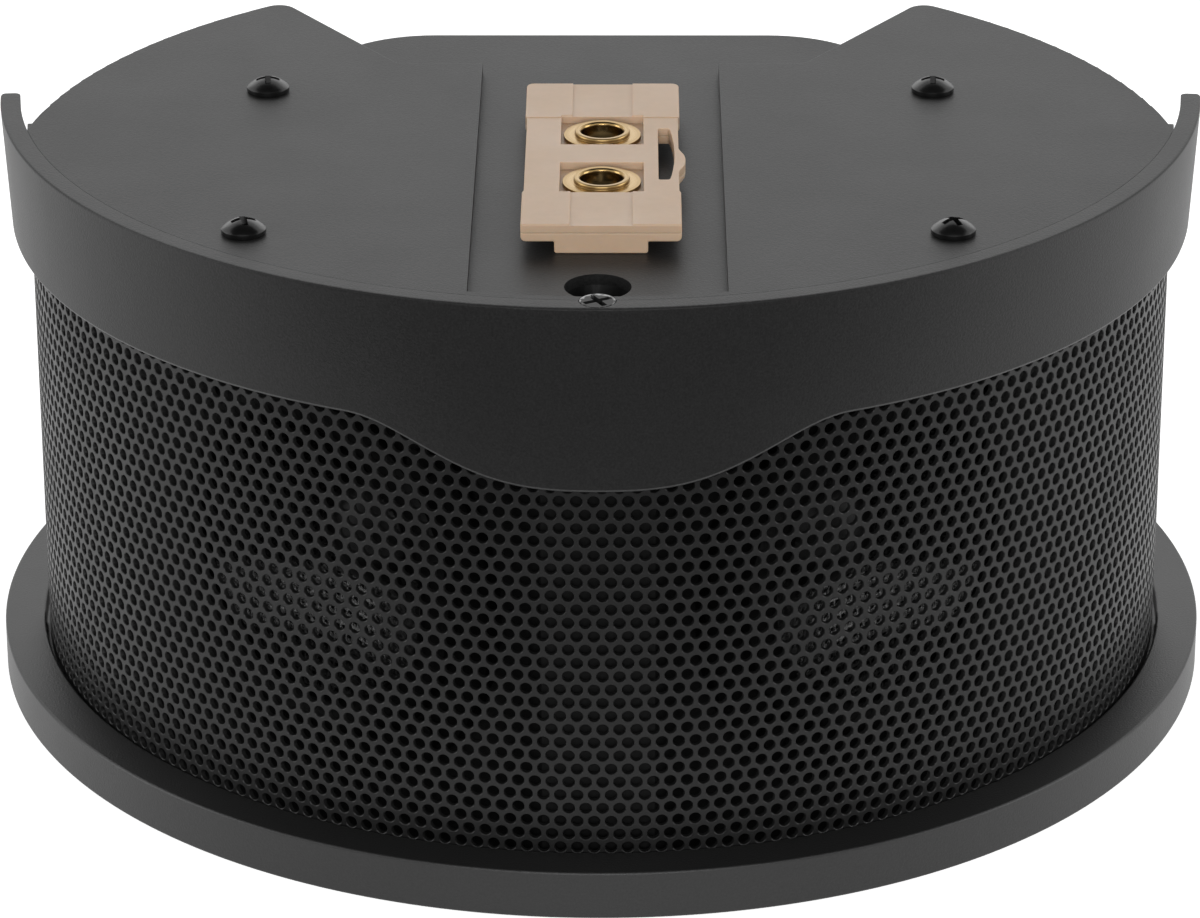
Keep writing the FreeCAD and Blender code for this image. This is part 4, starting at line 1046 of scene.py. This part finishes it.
class SPEAKER_OT_inside(bpy.types.Operator):
    """Cabinet and drivers, smoothed, and finishes for the small pieces inside"""

    bl_idname = "speaker.inside"
    bl_label = "Cabinet and Drivers"

    # How far below a cone's middle its painted glint band lies.
    glint_band_drop = 13.5 * MM
    smooth = 25.0
    # For each slot: name, colour, width of the grain in mm, roughness, share of metal and gloss.
    finishes = {
        "rubber": ("butyl rubber", "#070707", 0.8, 0.50, 0.0, 0.1),
        "coated_paper": ("pressed black paper", "#060606", 0.5, 0.30, 0.0, 0.2),
        "resin_cloth": ("resin-stiffened cotton", "#8a6b43", 0.4, 0.80, 0.0, 0.2),
        "copper_winding": ("enamelled copper wire", "#a8673a", 0.3, 0.35, 1.0, 0.5),
        "ferrite": ("sintered ferrite", "#2d2d2f", 0.7, 0.70, 0.0, 0.2),
        "zinc_steel": ("zinc-plated mild steel", "#9a9b9e", 0.8, 0.40, 1.0, 0.5),
        "black_steel": ("black lacquered steel", "#070707", 0.8, 0.45, 0.0, 0.1),
        "black_plastic": ("moulded black nylon", "#1d1d1d", 0.8, 0.55, 0.0, 0.2),
        "brass": ("stamped brass", "#b58f4e", 0.8, 0.35, 1.0, 0.5),
    }

    def execute(self, context):
        dress(merged_copy("cabinet", "Cabinet"), ["cabinet"], cabinet_plastic(),
              self.smooth)
        finishes = {slot: plain_finish(*row) for slot, row in self.finishes.items()}
        # The cones get a painted glint: their cloth is glossy only in a band below their middle.
        cloth = glint_band_cloth((low("left_cone").z + high("left_cone").z) / 2 - self.glint_band_drop)
        slots = {part["node"]: part["material_slot"] for part in frame["record"]["subparts"]}
        for node, piece in frame["nodes"].items():
            if piece.hide_render or slots[node] not in finishes:
                continue
            finish = cloth if node.endswith("_cone") else finishes[slots[node]]
            dress(merged_copy(node, node.title().replace("_", "")), [node], finish, self.smooth)
        return {"FINISHED"}


class SPEAKER_OT_stage(bpy.types.Operator):
    """Pale floor, soft studio light and the camera"""

    bl_idname = "speaker.stage"
    bl_label = "Stage"

    world_strength = 0.36
    floor_lift = 0.72
    floor_radius, floor_drop = 3.0, 0.1 * MM
    # Name, place, width and depth, and how far the front edge folds up, in metres.
    cards = (("FrontCard", (0.0, -0.55, MM), (1.8, 0.7), 0.45),
             ("OverheadCard", (0.0, -0.10, 1.15), (1.8, 0.9), 0.0))
    # Name, place, target, width and height in metres, and power in watts.
    lights = (("Behind", (0.0, 1.05, 0.72), (0.0, 0.0, 0.10), (2.0, 0.8), 4.0),
              ("Front", (0.0, -1.40, 0.52), (0.0, 0.0, 0.10), (0.8, 0.5), 12.0),
              ("Left", (-0.95, -0.05, 0.35), (0.0, -0.02, 0.05), (0.5, 0.7), 3.2),
              ("Right", (0.95, -0.05, 0.35), (0.0, -0.02, 0.05), (0.5, 0.7), 3.2))
    # The camera: its distance, height and shift in metres, its angles, and its lens in millimetres.
    camera_reach, camera_height, camera_shift = 0.9601, 0.4688, -0.0002
    camera_turn, camera_pitch, camera_roll = math.radians(0.31), math.radians(24.209), -0.0015
    sensor, focal, clip = 36.0, 163.08, 0.01

    def execute(self, context):
        self.floor()
        felt = new_material("black felt", Base_Color=(0.01, 0.01, 0.01, 1.0), Roughness=1.0,
                            Specular_IOR_Level=0.0)[0]
        for card in self.cards:
            self.dark_card(felt, *card)
        for light in self.lights:
            self.light(*light)
        self.surroundings(context.scene)
        self.camera(context.scene)
        context.scene.view_settings.view_transform = "Standard"
        return {"FINISHED"}

    def floor(self):
        """White card that keeps the shadow, lifted to white where the camera or a reflection sees it."""
        clear_selection()
        bpy.ops.mesh.primitive_circle_add(vertices=96, radius=self.floor_radius, fill_type="NGON",
                                          location=(0, 0, -self.floor_drop))
        floor = settle("Floor")
        material, shader = new_material("white card", Base_Color=(0.75, 0.75, 0.75, 1.0), Roughness=1.0,
                                        Specular_IOR_Level=0.0, Emission_Color=(1.0, 1.0, 1.0, 1.0))
        lift = add(material, "MapRange", {"Value": self.seen(material), "To Max": self.floor_lift})
        connect(material, shader, Emission_Strength=lift.outputs["Result"])
        floor.data.materials.append(material)

    def dark_card(self, felt, name, place, extent, rise):
        """Black card, met by reflections alone, that darkens one side of the room; its front may fold up."""
        clear_selection()
        bpy.ops.mesh.primitive_plane_add(size=1, location=place)
        card = settle(name, (*extent, 1))
        if rise:
            edit(card, "EDGE", lambda start, end: max(start.y, end.y) < place[1], extrude_edges, z=rise)
        card.data.materials.append(felt)
        card.visible_camera = card.visible_diffuse = card.visible_transmission = card.visible_shadow = False

    def seen(self, owner):
        """One where the camera, a reflection or a refraction looks, and nothing for scattered light."""
        path = add(owner, "LightPath")
        value = path.outputs["Is Camera Ray"]
        for kind in ("Is Glossy Ray", "Is Transmission Ray"):
            value = add(owner, "Math", {0: value, 1: path.outputs[kind]},
                        operation="MAXIMUM").outputs["Value"]
        return value

    def light(self, name, place, target, extent, power):
        lamp = bpy.data.lights.new(name, "AREA")
        lamp.shape = "RECTANGLE"
        lamp.size, lamp.size_y = extent
        lamp.energy = power
        holder = bpy.data.objects.new(name, lamp)
        holder.location = place
        holder.rotation_euler = (Vector(target) - Vector(place)).to_track_quat("-Z", "Y").to_euler()
        holder.visible_camera = False
        bpy.context.scene.collection.objects.link(holder)

    def surroundings(self, scene):
        """Dim grey light all round, and plain white where the camera or a reflection sees it."""
        world = bpy.data.worlds.new("Studio")
        world.use_nodes = True
        scene.world = world
        background = world.node_tree.nodes["Background"]
        background.inputs["Color"].default_value = (1.0, 1.0, 1.0, 1.0)
        strength = add(world, "MapRange", {
            "Value": self.seen(world), "To Min": self.world_strength, "To Max": 1.0})
        connect(world, background, Strength=strength.outputs["Result"])

    def camera(self, scene):
        """The photograph's viewpoint, from its fitted place, pitch, turn and roll."""
        lens = bpy.data.cameras.new("Photograph")
        lens.sensor_width, lens.lens, lens.clip_start = self.sensor, self.focal, self.clip
        holder = bpy.data.objects.new("Photograph", lens)
        holder.location = (self.camera_reach * math.sin(self.camera_turn) + self.camera_shift,
                           -self.camera_reach * math.cos(self.camera_turn), self.camera_height)
        holder.rotation_mode = "QUATERNION"
        aim = Euler((math.pi / 2 - self.camera_pitch, 0.0, self.camera_turn)).to_quaternion()
        holder.rotation_quaternion = aim @ Quaternion((0, 0, 1), self.camera_roll)
        scene.collection.objects.link(holder)
        scene.camera = holder


class SPEAKER_PT_parts(bpy.types.Panel):
    """Sizes, colours and one button for each group of pieces"""

    bl_idname = "SPEAKER_PT_parts"
    bl_label = "Conference Speaker"
    bl_space_type = "VIEW_3D"
    bl_region_type = "UI"
    bl_category = "Speaker"

    def draw(self, context):
        for group in (context.scene.speaker_sizes, context.scene.speaker_colours):
            box = self.layout.box()
            for name in group.__annotations__:
                box.prop(group, name)
        for operator in OPERATORS:
            self.layout.operator(operator.bl_idname)


OPERATORS = (SPEAKER_OT_base_disc, SPEAKER_OT_grille, SPEAKER_OT_front_band, SPEAKER_OT_top_plate,
             SPEAKER_OT_contact_block, SPEAKER_OT_contact_rings, SPEAKER_OT_screws, SPEAKER_OT_inside,
             SPEAKER_OT_stage)
CLASSES = (SpeakerSizes, SpeakerColours, *OPERATORS, SPEAKER_PT_parts)


def register():
    for kind in CLASSES:
        bpy.utils.register_class(kind)
    bpy.types.Scene.speaker_sizes = bpy.props.PointerProperty(type=SpeakerSizes)
    bpy.types.Scene.speaker_colours = bpy.props.PointerProperty(type=SpeakerColours)


def unregister():
    del bpy.types.Scene.speaker_colours
    del bpy.types.Scene.speaker_sizes
    for kind in reversed(CLASSES):
        bpy.utils.unregister_class(kind)


def main():
    register()
    bpy.ops.speaker.base_disc()
    bpy.ops.speaker.grille()
    bpy.ops.speaker.front_band()
    bpy.ops.speaker.top_plate()
    bpy.ops.speaker.contact_block()
    bpy.ops.speaker.contact_rings()
    bpy.ops.speaker.screws()
    bpy.ops.speaker.inside()
    bpy.ops.speaker.stage()


if __name__ == "__main__":
    main()
